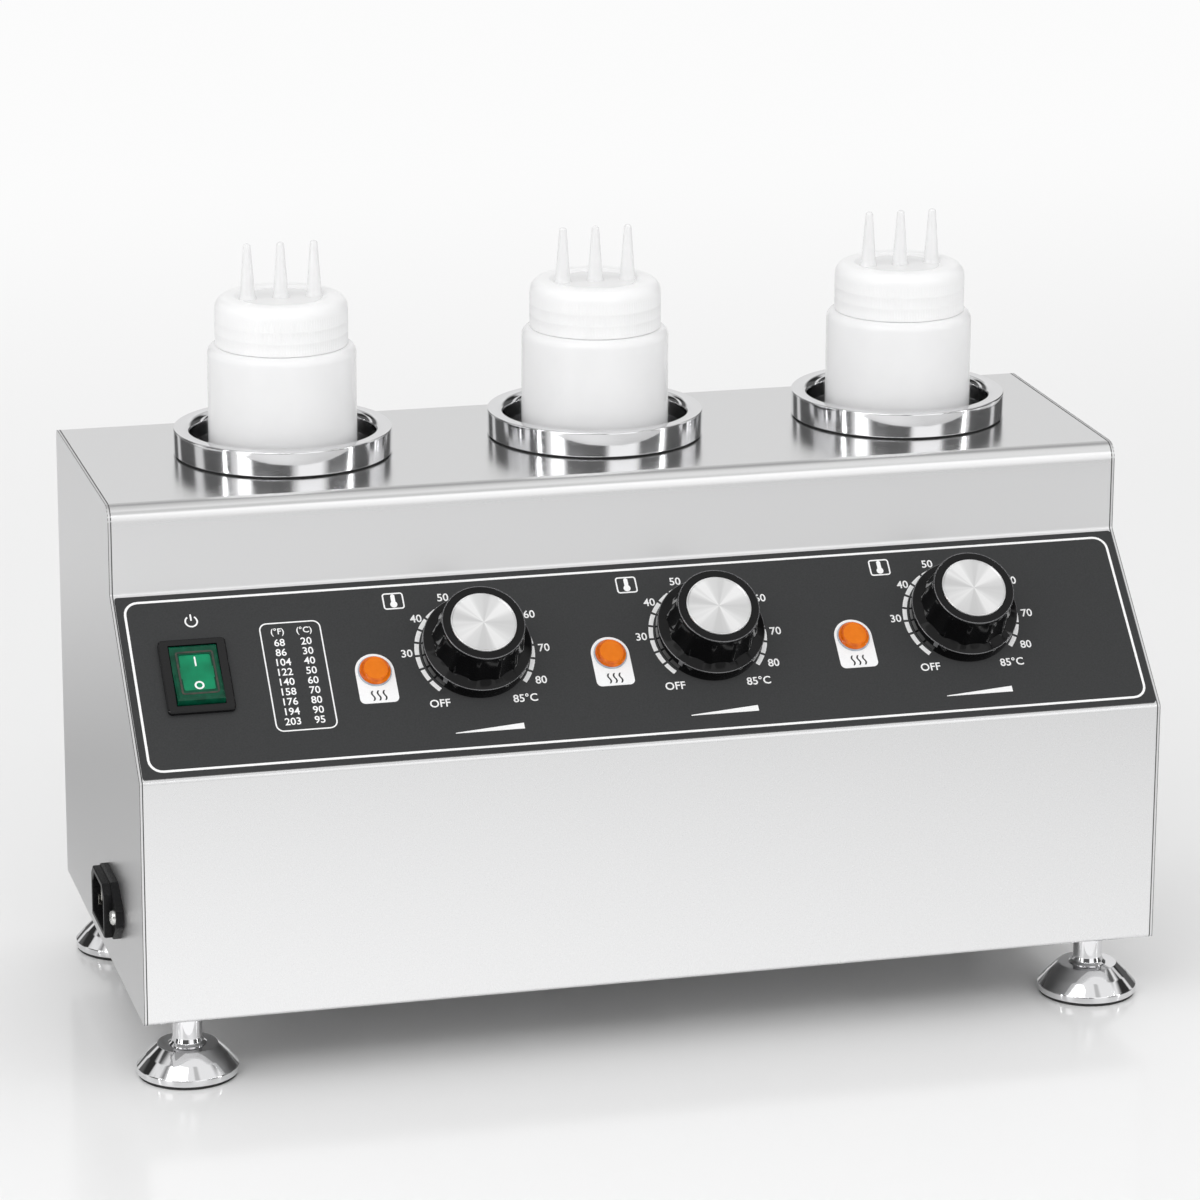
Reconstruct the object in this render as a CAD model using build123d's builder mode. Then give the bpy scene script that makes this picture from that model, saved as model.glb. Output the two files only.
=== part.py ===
from build123d import *
import os
from math import atan2, cos, degrees, hypot, radians, sin

# Countertop sauce warmer: a bent sheet body with three heated wells, each with its own thermostat,
# pilot lamp and squeeze bottle. Millimetres, +Z up, the front faces -Y. The origin is on the
# surface that the feet stand on, below the middle of the whole footprint.

# Body
body_length = 390.0
body_depth = 178.0
body_height = 180.5
front_height = 93.0  # upright lower front, below the sloped control panel
slope_run = 57.4
slope_rise = 54.2
sheet = 1.0
deck_front_bend = 6.0  # outer radii of the wrap's bends
deck_back_bend = 3.0
knee_bend = 2.0
foot_bend = 1.5
bottom_flange = 10.0
flange_gap = 0.5  # between the side panels' flanges and the wrap's

# Wells, collars and seals
well_pitch = 122.5
well_row_shift = 6.0  # the row sits this much right of the middle of the body
well_deck_shift = 5.8  # the row sits this much behind the middle of the deck
well_radius = 36.0
well_wall = 0.8
well_depth = 132.0  # from the deck to the inside of the well's floor
well_floor_bend = 8.0
well_rim_width = 2.6
deck_hole_clearance = 0.4
collar_radius = 41.6
collar_bore_radius = 34.9
collar_height = 8.8
collar_edge = 0.6
collar_lip_bend = 3.0
seal_radius = 40.6
seal_thickness = 1.2

# Bottles and caps
bottle_radius = 28.25
bottle_wall = 1.2
bottle_clearance = 0.3  # below the bottle, and between all loose pieces of bottle and cap
bottle_base_bend = 4.0
bottle_punt = 1.5
punt_radius = 19.0
shoulder_height = 42.0  # from the deck to the shoulder
shoulder_bend = 3.5
neck_radius = 22.9
neck_height = 13.2
cap_radius = 25.2
cap_height = 18.4
cap_wall = 1.8
cap_neck_gap = 0.5
cap_edge = 2.8
cap_dish_radius = 20.6
cap_dish_depth = 1.9
cap_top_thickness = 1.6
grip_band_height = 4.2
grip_band_relief = 0.35
cap_ring_width = 3.0  # sealing ring inside the cap
nozzle_pitch = 12.8
nozzle_height = 22.3
nozzle_foot_radius = 3.3
nozzle_foot_height = 0.6
nozzle_base_radius = 2.9
nozzle_tip_radius = 1.35
nozzle_bore_base_radius = 1.6
nozzle_bore_tip_radius = 0.6

# Control panel, with rises measured up the slope
overlay_thickness = 0.4
overlay_margin_side = 1.5
overlay_margin_end = 1.4
overlay_corner = 1.0
knob_shift_1 = -63.5  # of each knob and lamp, to the right of the middle of the body
knob_shift_2 = 26.0
knob_shift_3 = 125.5
knob_rise = 44.5
lamp_shift_1 = -102.2
lamp_shift_2 = -12.8
lamp_shift_3 = 81.7
lamp_rise = 39.0
switch_place = 26.9  # from the left side
switch_rise = 42.0

# Knobs
knob_radius = 20.4
knob_gap = 0.6  # between the overlay and the knob
knob_skirt_height = 6.0
knob_dish_rise = 0.8
knob_height = 20.4
grip_foot_radius = 17.2
grip_top_radius = 15.5
grip_edge = 0.9
flute_count = 12
flute_radius = 5.0
flute_depth = 1.0
flute_top_margin = 2.2
knob_wall = 1.8
knob_disc_radius = 12.1
knob_disc_thickness = 0.8
knob_disc_clearance = 0.05
pointer_width = 1.6
pointer_depth = 0.4

# Thermostats
thermostat_length = 36.0
thermostat_width = 32.0
thermostat_depth = 20.0
thermostat_corner = 3.0
bracket_length = 46.0
bracket_width = 26.0
bracket_thickness = 1.2
bush_radius = 4.9
bush_length = 6.0
bush_clearance = 0.2
bush_nut_size = 14.0
bush_nut_thickness = 2.4
shaft_radius = 3.0
shaft_flat = 1.5  # from the shaft's axis to its flat
shaft_clearance = 0.05
shaft_reach = 16.0  # above the overlay
shaft_inside = 9.0  # below the panel's inner face
diaphragm_radius = 11.0
diaphragm_height = 3.0
capillary_radius = 0.8
capillary_bend = 4.0
capillary_lead = 9.0  # straight length where it leaves the thermostat and the bulb
bulb_radius = 2.6
bulb_length = 34.0
bulb_drop = 56.0  # from the deck to the bulb's lower end
tab_width = 6.3
tab_thickness = 0.8
tab_length = 8.0

# Band heaters
heater_thickness = 3.0
heater_height = 50.0
heater_rise = 8.0  # above the well's outer floor
heater_split = 7.0
heater_fit = 0.1
ear_length = 11.0
ear_thickness = 2.0
ear_screw_radius = 2.0
post_radius = 2.2
post_length = 8.0
post_angle = 25.0  # of each terminal post from straight ahead

# Pilot lamps
lens_radius = 5.85
lens_height = 2.5
lens_bevel = 0.9
lens_stem_radius = 4.2
lens_stem_length = 6.0
lamp_radius = 4.9
lamp_wall = 0.6
lamp_length = 24.0
lamp_clearance = 0.15
lamp_nut_size = 13.0
lamp_nut_thickness = 3.0

# Rocker switch
bezel_width = 25.0
bezel_length = 30.6
bezel_height = 2.0
bezel_corner = 1.6
bezel_edge = 0.5
switch_opening_width = 18.2
switch_opening_length = 25.4
switch_opening_depth = 12.6
switch_body_width = 21.4
switch_body_length = 27.4
switch_body_depth = 20.0
cutout_clearance = 0.3
rocker_width = 17.6
rocker_swing_radius = 12.4
rocker_crown = 4.0  # from the pivot to the rocker's ridges
rocker_valley = 0.7  # how far the middle lies below the ridges
rocker_skirt = 5.0
rocker_tilt = 5.0  # on side pressed, as stored
rocker_edge = 0.7
rocker_pin_radius = 1.1
rocker_pin_reach = 1.1
rocker_pin_clearance = 0.06
window_width = 11.6
window_length = 15.8
window_depth = 0.4

# Mains inlet, on the left side
inlet_setback = 64.5
inlet_rise = 27.0
inlet_flange_length = 31.0
inlet_flange_height = 22.6
inlet_flange_thickness = 3.0
inlet_ear_span = 46.4
inlet_ear_tip = 8.0
inlet_shroud_length = 28.6
inlet_shroud_height = 20.4
inlet_shroud_proud = 3.0
inlet_socket_length = 24.4
inlet_socket_height = 16.6
inlet_socket_depth = 16.5
inlet_chamfer = 4.6
inlet_body_length = 26.8
inlet_body_height = 19.6
inlet_floor = 3.5
inlet_screw_span = 40.0
pin_width = 4.0
pin_thickness = 2.0
pin_recess = 1.5
pin_spread = 7.0
earth_pin_offset = 2.0
pin_seat_clearance = 0.05

# Base plate, screws and terminal block
base_inset = 4.6
base_screw_edge = 7.5  # from the body's outside to the screws' axes
screw_radius = 1.5
screw_hole_clearance = 0.05
screw_head_radius = 2.8
screw_head_height = 1.7
screw_length = 6.0
base_screw_columns = 3
base_screw_inset = 60.0
side_screw_pitch = 90.0
vent_length = 44.0
vent_width = 5.0
vent_pitch = 9.0
vent_count = 5
block_length = 40.0
block_width = 20.0
block_height = 14.0
block_place = 60.0
block_way_radius = 1.8

# Feet
foot_height = 26.7  # from the floor to the underside of the body
foot_inset = 19.0  # from the body's side, front and back to the feet's axes
pad_radius = 18.4
pad_height = 1.2
pad_plug_radius = 15.0
pad_plug_height = 1.0
cone_radius = 19.0
cone_rim = 2.6
cone_top_radius = 11.1
cone_top_height = 11.9
cone_wall = 2.0
stem_radius = 5.5
stem_flare_radius = 6.9
stem_flare_height = 2.2
stem_gap = 0.3
stud_radius = 4.0
stud_reach = 19.0  # of thread above the base plate
stud_clearance = 0.08
weld_nut_size = 13.0
weld_nut_thickness = 6.5

# Wiring
wire_radius = 1.2
wire_bend = 7.0
lead_out = 11.0  # straight length of a wire where it leaves a terminal

# Planes, heights and places worked out from the sizes above
inlet_proud = inlet_flange_thickness + inlet_shroud_proud
left_x = -(body_length + inlet_proud) / 2 + inlet_proud
right_x = left_x + body_length
middle_x = (left_x + right_x) / 2
front_y = -body_depth / 2
back_y = body_depth / 2
base_z = foot_height
deck_z = base_z + body_height
slope_length = hypot(slope_run, slope_rise)
slope_angle = atan2(slope_rise, slope_run)
panel = Plane(
    origin=(left_x, front_y, base_z + front_height),
    x_dir=(1, 0, 0),
    z_dir=(0, -slope_rise, slope_run),
)
inlet_frame = Plane(
    origin=(left_x, front_y + inlet_setback, base_z + inlet_rise),
    x_dir=(0, -1, 0),
    z_dir=(-1, 0, 0),
)
knob_places = [body_length / 2 + shift for shift in (knob_shift_1, knob_shift_2, knob_shift_3)]
lamp_places = [body_length / 2 + shift for shift in (lamp_shift_1, lamp_shift_2, lamp_shift_3)]
well_y = (front_y + slope_run + back_y) / 2 + well_deck_shift
well_places = [(middle_x + well_row_shift + step * well_pitch, well_y) for step in (-1, 0, 1)]
foot_places = [
    (x, y)
    for y in (front_y + foot_inset, back_y - foot_inset)
    for x in (left_x + foot_inset, right_x - foot_inset)
]
well_outer_radius = well_radius + well_wall
well_floor_z = deck_z - well_depth
well_rim_radius = well_outer_radius + well_rim_width
collar_z = deck_z + seal_thickness
shoulder_z = deck_z + shoulder_height
neck_top_z = shoulder_z + neck_height
cap_bottom_z = shoulder_z + bottle_clearance
cap_top_z = cap_bottom_z + cap_height
cap_dish_z = cap_top_z - cap_dish_depth
cap_ceiling_z = cap_dish_z - cap_top_thickness
cap_ring_radius = neck_radius + cap_neck_gap - bottle_clearance
cap_ring_thickness = cap_ceiling_z - neck_top_z - 2 * bottle_clearance
knob_base = overlay_thickness + knob_gap
case_back = sheet + bracket_thickness + thermostat_depth
heater_middle_z = well_floor_z - well_wall + heater_rise + heater_height / 2
switch_tab_pitch = 7.0
block_way_pitch = block_length / 3
block_way_z = base_z + block_height * 0.4
tab_row = thermostat_width / 2 - 4
tab_column = thermostat_length / 2 - tab_width

os.makedirs("parts", exist_ok=True)


def save(part, name):
    """Labels a finished piece and writes its file."""
    part.label = name
    export_step(part, f"parts/{name}.step")


def panel_at(place, rise, height=0.0):
    """Frame on the sloped panel: x to the right, y up the slope, z out of the panel."""
    origin = panel.from_local_coords(Vector(place, rise, height))
    return Plane(origin=origin, x_dir=panel.x_dir, z_dir=panel.z_dir)


def upright_at(place, height=0.0):
    """Upright frame at a place seen from above."""
    return Plane(origin=(place[0], place[1], height))


def section_of(frame):
    """Half plane for turned outlines: x away from the frame's axis, y along it."""
    return Plane(origin=frame.origin, x_dir=frame.x_dir, z_dir=-frame.y_dir)


def turned(frame, points, radii=None, mode=Mode.ADD):
    """Spins a closed outline of (radius, height) points about the frame's z axis."""
    with BuildSketch(section_of(frame)) as outline:
        with BuildLine():
            FilletPolyline(*points, radius=radii or [0] * len(points), close=True)
        make_face()
    revolve(outline.sketch, axis=Axis(frame.origin, frame.z_dir), mode=mode)


def round_hole(frame, radius, start, end):
    """Cuts a round hole along the frame's axis between two heights."""
    with BuildSketch(frame.offset(start)) as opening:
        Circle(radius)
    extrude(opening.sketch, amount=end - start, mode=Mode.SUBTRACT)


def body_outline():
    """Outer outline of the body seen from the right, with the wrap's bends."""
    knee_z = base_z + front_height
    with BuildLine() as outline:
        FilletPolyline(
            (front_y, base_z),
            (front_y, knee_z),
            (front_y + slope_run, knee_z + slope_rise),
            (front_y + slope_run, deck_z),
            (back_y, deck_z),
            (back_y, base_z),
            radius=[foot_bend, knee_bend, knee_bend, deck_front_bend, deck_back_bend, foot_bend],
            close=True,
        )
    make_face(outline.edges())


def base_screw_places():
    """Screws through the base plate: a row into the back flange, two into each side panel."""
    span = body_length - 2 * base_screw_inset
    step = span / (base_screw_columns - 1)
    places = [
        (middle_x - span / 2 + column * step, back_y - base_screw_edge)
        for column in range(base_screw_columns)
    ]
    for x in (left_x + base_screw_edge, right_x - base_screw_edge):
        places += [(x, -side_screw_pitch / 2), (x, side_screw_pitch / 2)]
    return places


def make_body_wrap():
    """One bent sheet: lower front, slope, upper front, deck, back and two bottom flanges."""
    with BuildPart() as wrap:
        with BuildSketch(Plane.YZ.offset(left_x + sheet)):
            body_outline()
            offset(amount=-sheet, mode=Mode.SUBTRACT)
            with Locations((0, base_z + sheet / 2)):
                Rectangle(body_depth - 2 * bottom_flange, 2 * sheet, mode=Mode.SUBTRACT)
        extrude(amount=body_length - 2 * sheet)
        with BuildSketch(Plane.XY.offset(deck_z)):
            with Locations(*well_places):
                Circle(well_outer_radius + deck_hole_clearance)
        extrude(amount=-2 * sheet, mode=Mode.SUBTRACT)
        with BuildSketch(panel):
            panel_openings()
        extrude(amount=-2 * sheet, mode=Mode.SUBTRACT)
        with BuildSketch(Plane.XY.offset(base_z)):
            with Locations(*base_screw_places()):
                Circle(screw_radius + screw_hole_clearance)
        extrude(amount=2 * sheet, mode=Mode.SUBTRACT)
    return wrap.part


def panel_openings(mode=Mode.ADD):
    """Holes through panel and overlay for the thermostats, lamps and switch."""
    width = switch_body_width + cutout_clearance
    length = switch_body_length + cutout_clearance
    with Locations(*[(place, knob_rise) for place in knob_places]):
        Circle(bush_radius + bush_clearance, mode=mode)
    with Locations(*[(place, lamp_rise) for place in lamp_places]):
        Circle(lamp_radius + lamp_clearance, mode=mode)
    with Locations((switch_place, switch_rise)):
        Rectangle(width, length, mode=mode)


def make_side_panel(outer_x, inward):
    """Flat stepped side sheet with a bottom flange; inward is +1 on the left, -1 on the right."""
    with BuildPart() as side:
        with BuildSketch(Plane.YZ.offset(outer_x)):
            body_outline()
        extrude(amount=sheet * inward)
        with BuildSketch(Plane.XY.offset(base_z)):
            with Locations((outer_x + inward * bottom_flange / 2, 0)):
                Rectangle(bottom_flange, body_depth - 2 * (bottom_flange + flange_gap))
            with Locations((outer_x + inward * base_screw_edge, 0)):
                with GridLocations(1, side_screw_pitch, 1, 2):
                    Circle(screw_radius + screw_hole_clearance, mode=Mode.SUBTRACT)
        extrude(amount=sheet)
        if inward > 0:
            with BuildSketch(inlet_frame.offset(-2 * sheet)):
                Rectangle(inlet_body_length + cutout_clearance, inlet_body_height + cutout_clearance)
                with GridLocations(inlet_screw_span, 1, 2, 1):
                    Circle(screw_radius + screw_hole_clearance)
            extrude(amount=3 * sheet, mode=Mode.SUBTRACT)
    return side.part


def make_base_plate():
    """Removable bottom with vents below each well and weld nuts for the feet."""
    with BuildPart() as plate:
        with BuildSketch(Plane.XY.offset(base_z - sheet)):
            with Locations((middle_x, 0)):
                RectangleRounded(
                    body_length - 2 * base_inset, body_depth - 2 * base_inset, foot_bend
                )
            with Locations(*base_screw_places()):
                Circle(screw_radius + screw_hole_clearance, mode=Mode.SUBTRACT)
            with Locations(*foot_places):
                Circle(stud_radius + stud_clearance, mode=Mode.SUBTRACT)
            with Locations(*[(x, 0) for x, y in well_places]):
                with GridLocations(1, vent_pitch, 1, vent_count):
                    SlotOverall(vent_length, vent_width, mode=Mode.SUBTRACT)
        extrude(amount=sheet)
        with BuildSketch(Plane.XY.offset(base_z)):
            with Locations(*foot_places):
                RegularPolygon(weld_nut_size / 2, 6, major_radius=False)
                Circle(stud_radius + stud_clearance, mode=Mode.SUBTRACT)
        extrude(amount=weld_nut_thickness)
    return plate.part


def make_panel_screws():
    """Pan head screws, all alike: from below through the base plate, and on the inlet's ears."""
    ear = inlet_screw_span / 2
    frames = [
        Plane(origin=(x, y, base_z - sheet), x_dir=(1, 0, 0), z_dir=(0, 0, -1))
        for x, y in base_screw_places()
    ]
    ear_face = inlet_frame.offset(inlet_flange_thickness)
    frames += [
        Plane(
            origin=ear_face.from_local_coords(Vector(side * ear, 0, 0)),
            x_dir=ear_face.x_dir,
            z_dir=ear_face.z_dir,
        )
        for side in (-1, 1)
    ]
    with BuildPart() as screws:
        for frame in frames:
            turned(
                frame,
                [
                    (0, screw_head_height),
                    (screw_head_radius, screw_head_height),
                    (screw_head_radius, 0),
                    (screw_radius, 0),
                    (screw_radius, -screw_length),
                    (0, -screw_length),
                ],
                [0, screw_head_height * 0.7, 0, 0, 0, 0],
            )
    return screws.part


def make_overlay():
    """Thin printed sheet that covers the slope."""
    with BuildPart() as overlay:
        with BuildSketch(panel):
            with Locations((body_length / 2, slope_length / 2)):
                RectangleRounded(
                    body_length - 2 * overlay_margin_side,
                    slope_length - 2 * overlay_margin_end,
                    overlay_corner,
                )
            panel_openings(Mode.SUBTRACT)
        extrude(amount=overlay_thickness)
    return overlay.part


def make_collar(place):
    """Thick polished ring with a rounded mouth, stepped below to sit over the well's rim."""
    with BuildPart() as collar:
        turned(
            upright_at(place, collar_z),
            [
                (collar_bore_radius, well_wall),
                (collar_bore_radius, collar_height),
                (collar_radius, collar_height),
                (collar_radius, 0),
                (well_rim_radius, 0),
                (well_rim_radius, well_wall),
            ],
            [0, collar_lip_bend, collar_edge, collar_edge, 0, 0],
        )
    return collar.part


def make_collar_seals():
    """Black rings that seal the rims of the wells and the collars to the deck."""
    with BuildPart() as seals:
        for place in well_places:
            with BuildSketch(upright_at(place, deck_z)):
                Circle(seal_radius)
                Circle(well_outer_radius + deck_hole_clearance, mode=Mode.SUBTRACT)
            extrude(amount=seal_thickness)
    return seals.part


def make_well(place):
    """Deep-drawn cup that hangs from its rim."""
    rim_z = well_depth + seal_thickness + well_wall
    with BuildPart() as well:
        turned(
            upright_at(place, well_floor_z),
            [
                (0, -well_wall),
                (well_outer_radius, -well_wall),
                (well_outer_radius, rim_z - well_wall),
                (well_rim_radius, rim_z - well_wall),
                (well_rim_radius, rim_z),
                (well_radius, rim_z),
                (well_radius, 0),
                (0, 0),
            ],
            [0, well_floor_bend + well_wall, 0, 0, 0, well_wall, well_floor_bend, 0],
        )
    return well.part


def post_frame(place, side):
    """Frame at the outer end of a heater's terminal post, z away from the well."""
    turn = radians(270 + side * post_angle)
    outward = Vector(cos(turn), sin(turn), 0)
    reach = well_outer_radius + heater_fit + heater_thickness + post_length
    centre = Vector(place[0], place[1], heater_middle_z)
    return Plane(origin=centre + outward * reach, z_dir=outward)


def make_heater(place):
    """Split band round the well, with a clamp screw through its ears and two terminal posts."""
    inner = well_outer_radius + heater_fit
    outer = inner + heater_thickness
    bottom = heater_middle_z - heater_height / 2
    ear_x = outer - 1 + ear_length / 2
    with BuildPart() as heater:
        with BuildSketch(upright_at(place, bottom)):
            Circle(outer)
            with Locations((ear_x, 0)):
                Rectangle(ear_length, heater_split + 2 * ear_thickness)
            Circle(inner, mode=Mode.SUBTRACT)
            with Locations((outer, 0)):
                Rectangle(3 * ear_length, heater_split, mode=Mode.SUBTRACT)
        extrude(amount=heater_height)
        screw_plane = Plane(
            origin=(place[0] + ear_x + 1, place[1], heater_middle_z),
            x_dir=(1, 0, 0),
            z_dir=(0, 1, 0),
        )
        with BuildSketch(screw_plane.offset(-heater_split / 2 - 2 * ear_thickness)):
            Circle(ear_screw_radius)
        extrude(amount=heater_split + 4 * ear_thickness)
        for side in (-1, 1):
            with BuildSketch(post_frame(place, side)):
                Circle(post_radius)
            extrude(amount=-post_length - heater_thickness / 2)
    return heater.part


def make_thermostat(place):
    """Switch block behind the panel, held by a threaded bush and nut, with four spade tabs."""
    frame = panel_at(place, knob_rise)
    nut_top = overlay_thickness + bush_nut_thickness
    with BuildPart() as thermostat:
        with BuildSketch(frame.offset(-sheet)):
            RectangleRounded(bracket_length, bracket_width, thermostat_corner)
        extrude(amount=-bracket_thickness)
        with BuildSketch(frame.offset(-sheet - bracket_thickness)):
            RectangleRounded(thermostat_length, thermostat_width, thermostat_corner)
        extrude(amount=-thermostat_depth)
        turned(
            frame,
            [
                (0, -case_back),
                (0, -case_back - diaphragm_height),
                (diaphragm_radius, -case_back - diaphragm_height),
                (diaphragm_radius, -case_back),
            ],
            [0, 0, 1.0, 0],
        )
        with BuildSketch(frame.offset(-sheet)):
            Circle(bush_radius)
        extrude(amount=sheet + overlay_thickness + bush_length - knob_gap)
        with BuildSketch(frame.offset(overlay_thickness)):
            RegularPolygon(bush_nut_size / 2, 6, major_radius=False)
        extrude(amount=nut_top - overlay_thickness)
        with BuildSketch(frame.offset(-case_back)):
            with GridLocations(2 * tab_column, 2 * tab_row, 2, 2):
                Rectangle(tab_width, tab_thickness)
        extrude(amount=-tab_length)
        round_hole(
            frame,
            shaft_radius + shaft_clearance,
            bush_length + overlay_thickness,
            -sheet - shaft_inside - 1,
        )
    return thermostat.part


def make_shaft(place):
    """Thermostat spindle with a flat on the length that the knob grips."""
    frame = panel_at(place, knob_rise)
    length = sheet + shaft_inside + overlay_thickness + shaft_reach
    with BuildPart() as shaft:
        with BuildSketch(frame.offset(-sheet - shaft_inside)):
            Circle(shaft_radius)
        extrude(amount=length)
        flat_start = overlay_thickness + bush_length
        with BuildSketch(frame.offset(flat_start)):
            with Locations((0, shaft_flat + shaft_radius)):
                Rectangle(4 * shaft_radius, 2 * shaft_radius)
        extrude(amount=shaft_reach, mode=Mode.SUBTRACT)
    return shaft.part


def make_knob(place):
    """Fluted grip on a stepped skirt, hollow below, with a D bore and a seat for the disc."""
    frame = panel_at(place, knob_rise)
    skirt_top = knob_base + knob_skirt_height
    grip_foot = skirt_top + knob_dish_rise
    top = knob_base + knob_height
    hollow_top = skirt_top - knob_wall
    hub_bottom = overlay_thickness + bush_length + 2 * bush_clearance
    nut_room = bush_nut_size * 0.6 + 1
    grip_lean = (grip_foot_radius - grip_top_radius) / (top - grip_foot)
    with BuildPart() as knob:
        turned(
            frame,
            [
                (0, knob_base),
                (knob_radius, knob_base),
                (knob_radius, skirt_top),
                (grip_foot_radius, grip_foot),
                (grip_top_radius, top),
                (0, top),
            ],
            [0, 0, 0.8, 0.6, grip_edge, 0],
        )
        flute_top = top - flute_top_margin
        centre_radius = grip_foot_radius + flute_radius - flute_depth
        for step in range(flute_count):
            turn = 2 * step * degrees(3.141592653589793) / flute_count
            lean = degrees(atan2(grip_lean, 1))
            foot = Location(frame) * Location((0, 0, 0), (0, 0, turn))
            foot = foot * Location((centre_radius, 0, grip_foot), (0, -lean, 0))
            with BuildSketch(Plane(foot)):
                Circle(flute_radius)
            extrude(amount=flute_top - grip_foot, mode=Mode.SUBTRACT)
        turned(
            frame,
            [
                (0, knob_base),
                (knob_radius - knob_wall, knob_base),
                (knob_radius - knob_wall, hollow_top),
                (nut_room, hollow_top),
                (nut_room, hub_bottom),
                (0, hub_bottom),
            ],
            mode=Mode.SUBTRACT,
        )
        with BuildSketch(frame.offset(top - knob_disc_thickness)):
            Circle(knob_disc_radius + knob_disc_clearance)
        extrude(amount=2 * knob_disc_thickness, mode=Mode.SUBTRACT)
        with BuildSketch(frame.offset(hub_bottom)):
            Circle(shaft_radius)
            with Locations((0, shaft_flat + shaft_radius)):
                Rectangle(4 * shaft_radius, 2 * shaft_radius, mode=Mode.SUBTRACT)
        extrude(amount=overlay_thickness + shaft_reach - hub_bottom, mode=Mode.SUBTRACT)
        pointer = Location(frame) * Location((0, 0, skirt_top), (0, 0, 225))
        with BuildSketch(Plane(pointer)):
            with Locations((knob_radius, 0)):
                Rectangle(2 * pointer_width, pointer_width)
        extrude(amount=-knob_skirt_height / 2, mode=Mode.SUBTRACT)
    return knob.part


def make_knob_disc(place):
    """Spun aluminium disc in the top of the knob."""
    frame = panel_at(place, knob_rise, knob_base + knob_height - knob_disc_thickness)
    with BuildPart() as disc:
        turned(
            frame,
            [
                (0, 0),
                (knob_disc_radius, 0),
                (knob_disc_radius, knob_disc_thickness + 0.2),
                (0, knob_disc_thickness + 0.2),
            ],
            [0, 0, 0.25, 0],
        )
    return disc.part


def make_lens(place):
    """Bevelled lamp lens with a stem that plugs into the lamp body."""
    frame = panel_at(place, lamp_rise, overlay_thickness)
    with BuildPart() as lens:
        turned(
            frame,
            [
                (0, -lens_stem_length),
                (lens_stem_radius, -lens_stem_length),
                (lens_stem_radius, 0),
                (lens_radius, 0),
                (lens_radius, lens_height - lens_bevel),
                (lens_radius - lens_bevel, lens_height),
                (0, lens_height),
            ],
        )
    return lens.part


def make_lamp_bodies():
    """Lamp tubes through the panel, each with a nut behind it and two spade tabs."""
    with BuildPart() as bodies:
        for place in lamp_places:
            frame = panel_at(place, lamp_rise)
            with BuildSketch(frame.offset(overlay_thickness)):
                Circle(lamp_radius)
            extrude(amount=-lamp_length)
            with BuildSketch(frame.offset(-sheet)):
                RegularPolygon(lamp_nut_size / 2, 6, major_radius=False)
            extrude(amount=-lamp_nut_thickness)
            with BuildSketch(frame.offset(overlay_thickness - lamp_length)):
                with GridLocations(lamp_radius, 1, 2, 1):
                    Rectangle(tab_thickness, tab_width / 2)
            extrude(amount=-tab_length)
            round_hole(
                frame,
                lamp_radius - lamp_wall,
                overlay_thickness,
                overlay_thickness - lamp_length + 2 * lamp_wall,
            )
    return bodies.part


def make_switch_housing():
    """Bezel and body of the switch, with a well and pin seats for the rocker."""
    frame = panel_at(switch_place, switch_rise)
    bezel_top = overlay_thickness + bezel_height
    with BuildPart() as housing:
        with BuildSketch(frame.offset(overlay_thickness)):
            RectangleRounded(bezel_width, bezel_length, bezel_corner)
        extrude(amount=bezel_height)
        rim = housing.faces().sort_by(Axis(frame.origin, frame.z_dir))[-1].edges()
        chamfer(rim, bezel_edge)
        with BuildSketch(frame.offset(overlay_thickness)):
            Rectangle(switch_body_width, switch_body_length)
        extrude(amount=-switch_body_depth)
        with BuildSketch(frame.offset(overlay_thickness - switch_body_depth)):
            with GridLocations(1, switch_tab_pitch, 1, 3):
                Rectangle(tab_width, tab_thickness)
        extrude(amount=-tab_length)
        with BuildSketch(frame.offset(bezel_top)):
            Rectangle(switch_opening_width, switch_opening_length)
        extrude(amount=-bezel_height - switch_opening_depth, mode=Mode.SUBTRACT)
        seat_span = rocker_width + 2 * (rocker_pin_reach + rocker_pin_clearance)
        seat = Plane(origin=frame.origin, x_dir=frame.y_dir, z_dir=frame.x_dir)
        with BuildSketch(seat.offset(-seat_span / 2)):
            Circle(rocker_pin_radius + rocker_pin_clearance)
        extrude(amount=seat_span, mode=Mode.SUBTRACT)
    return housing.part


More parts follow.
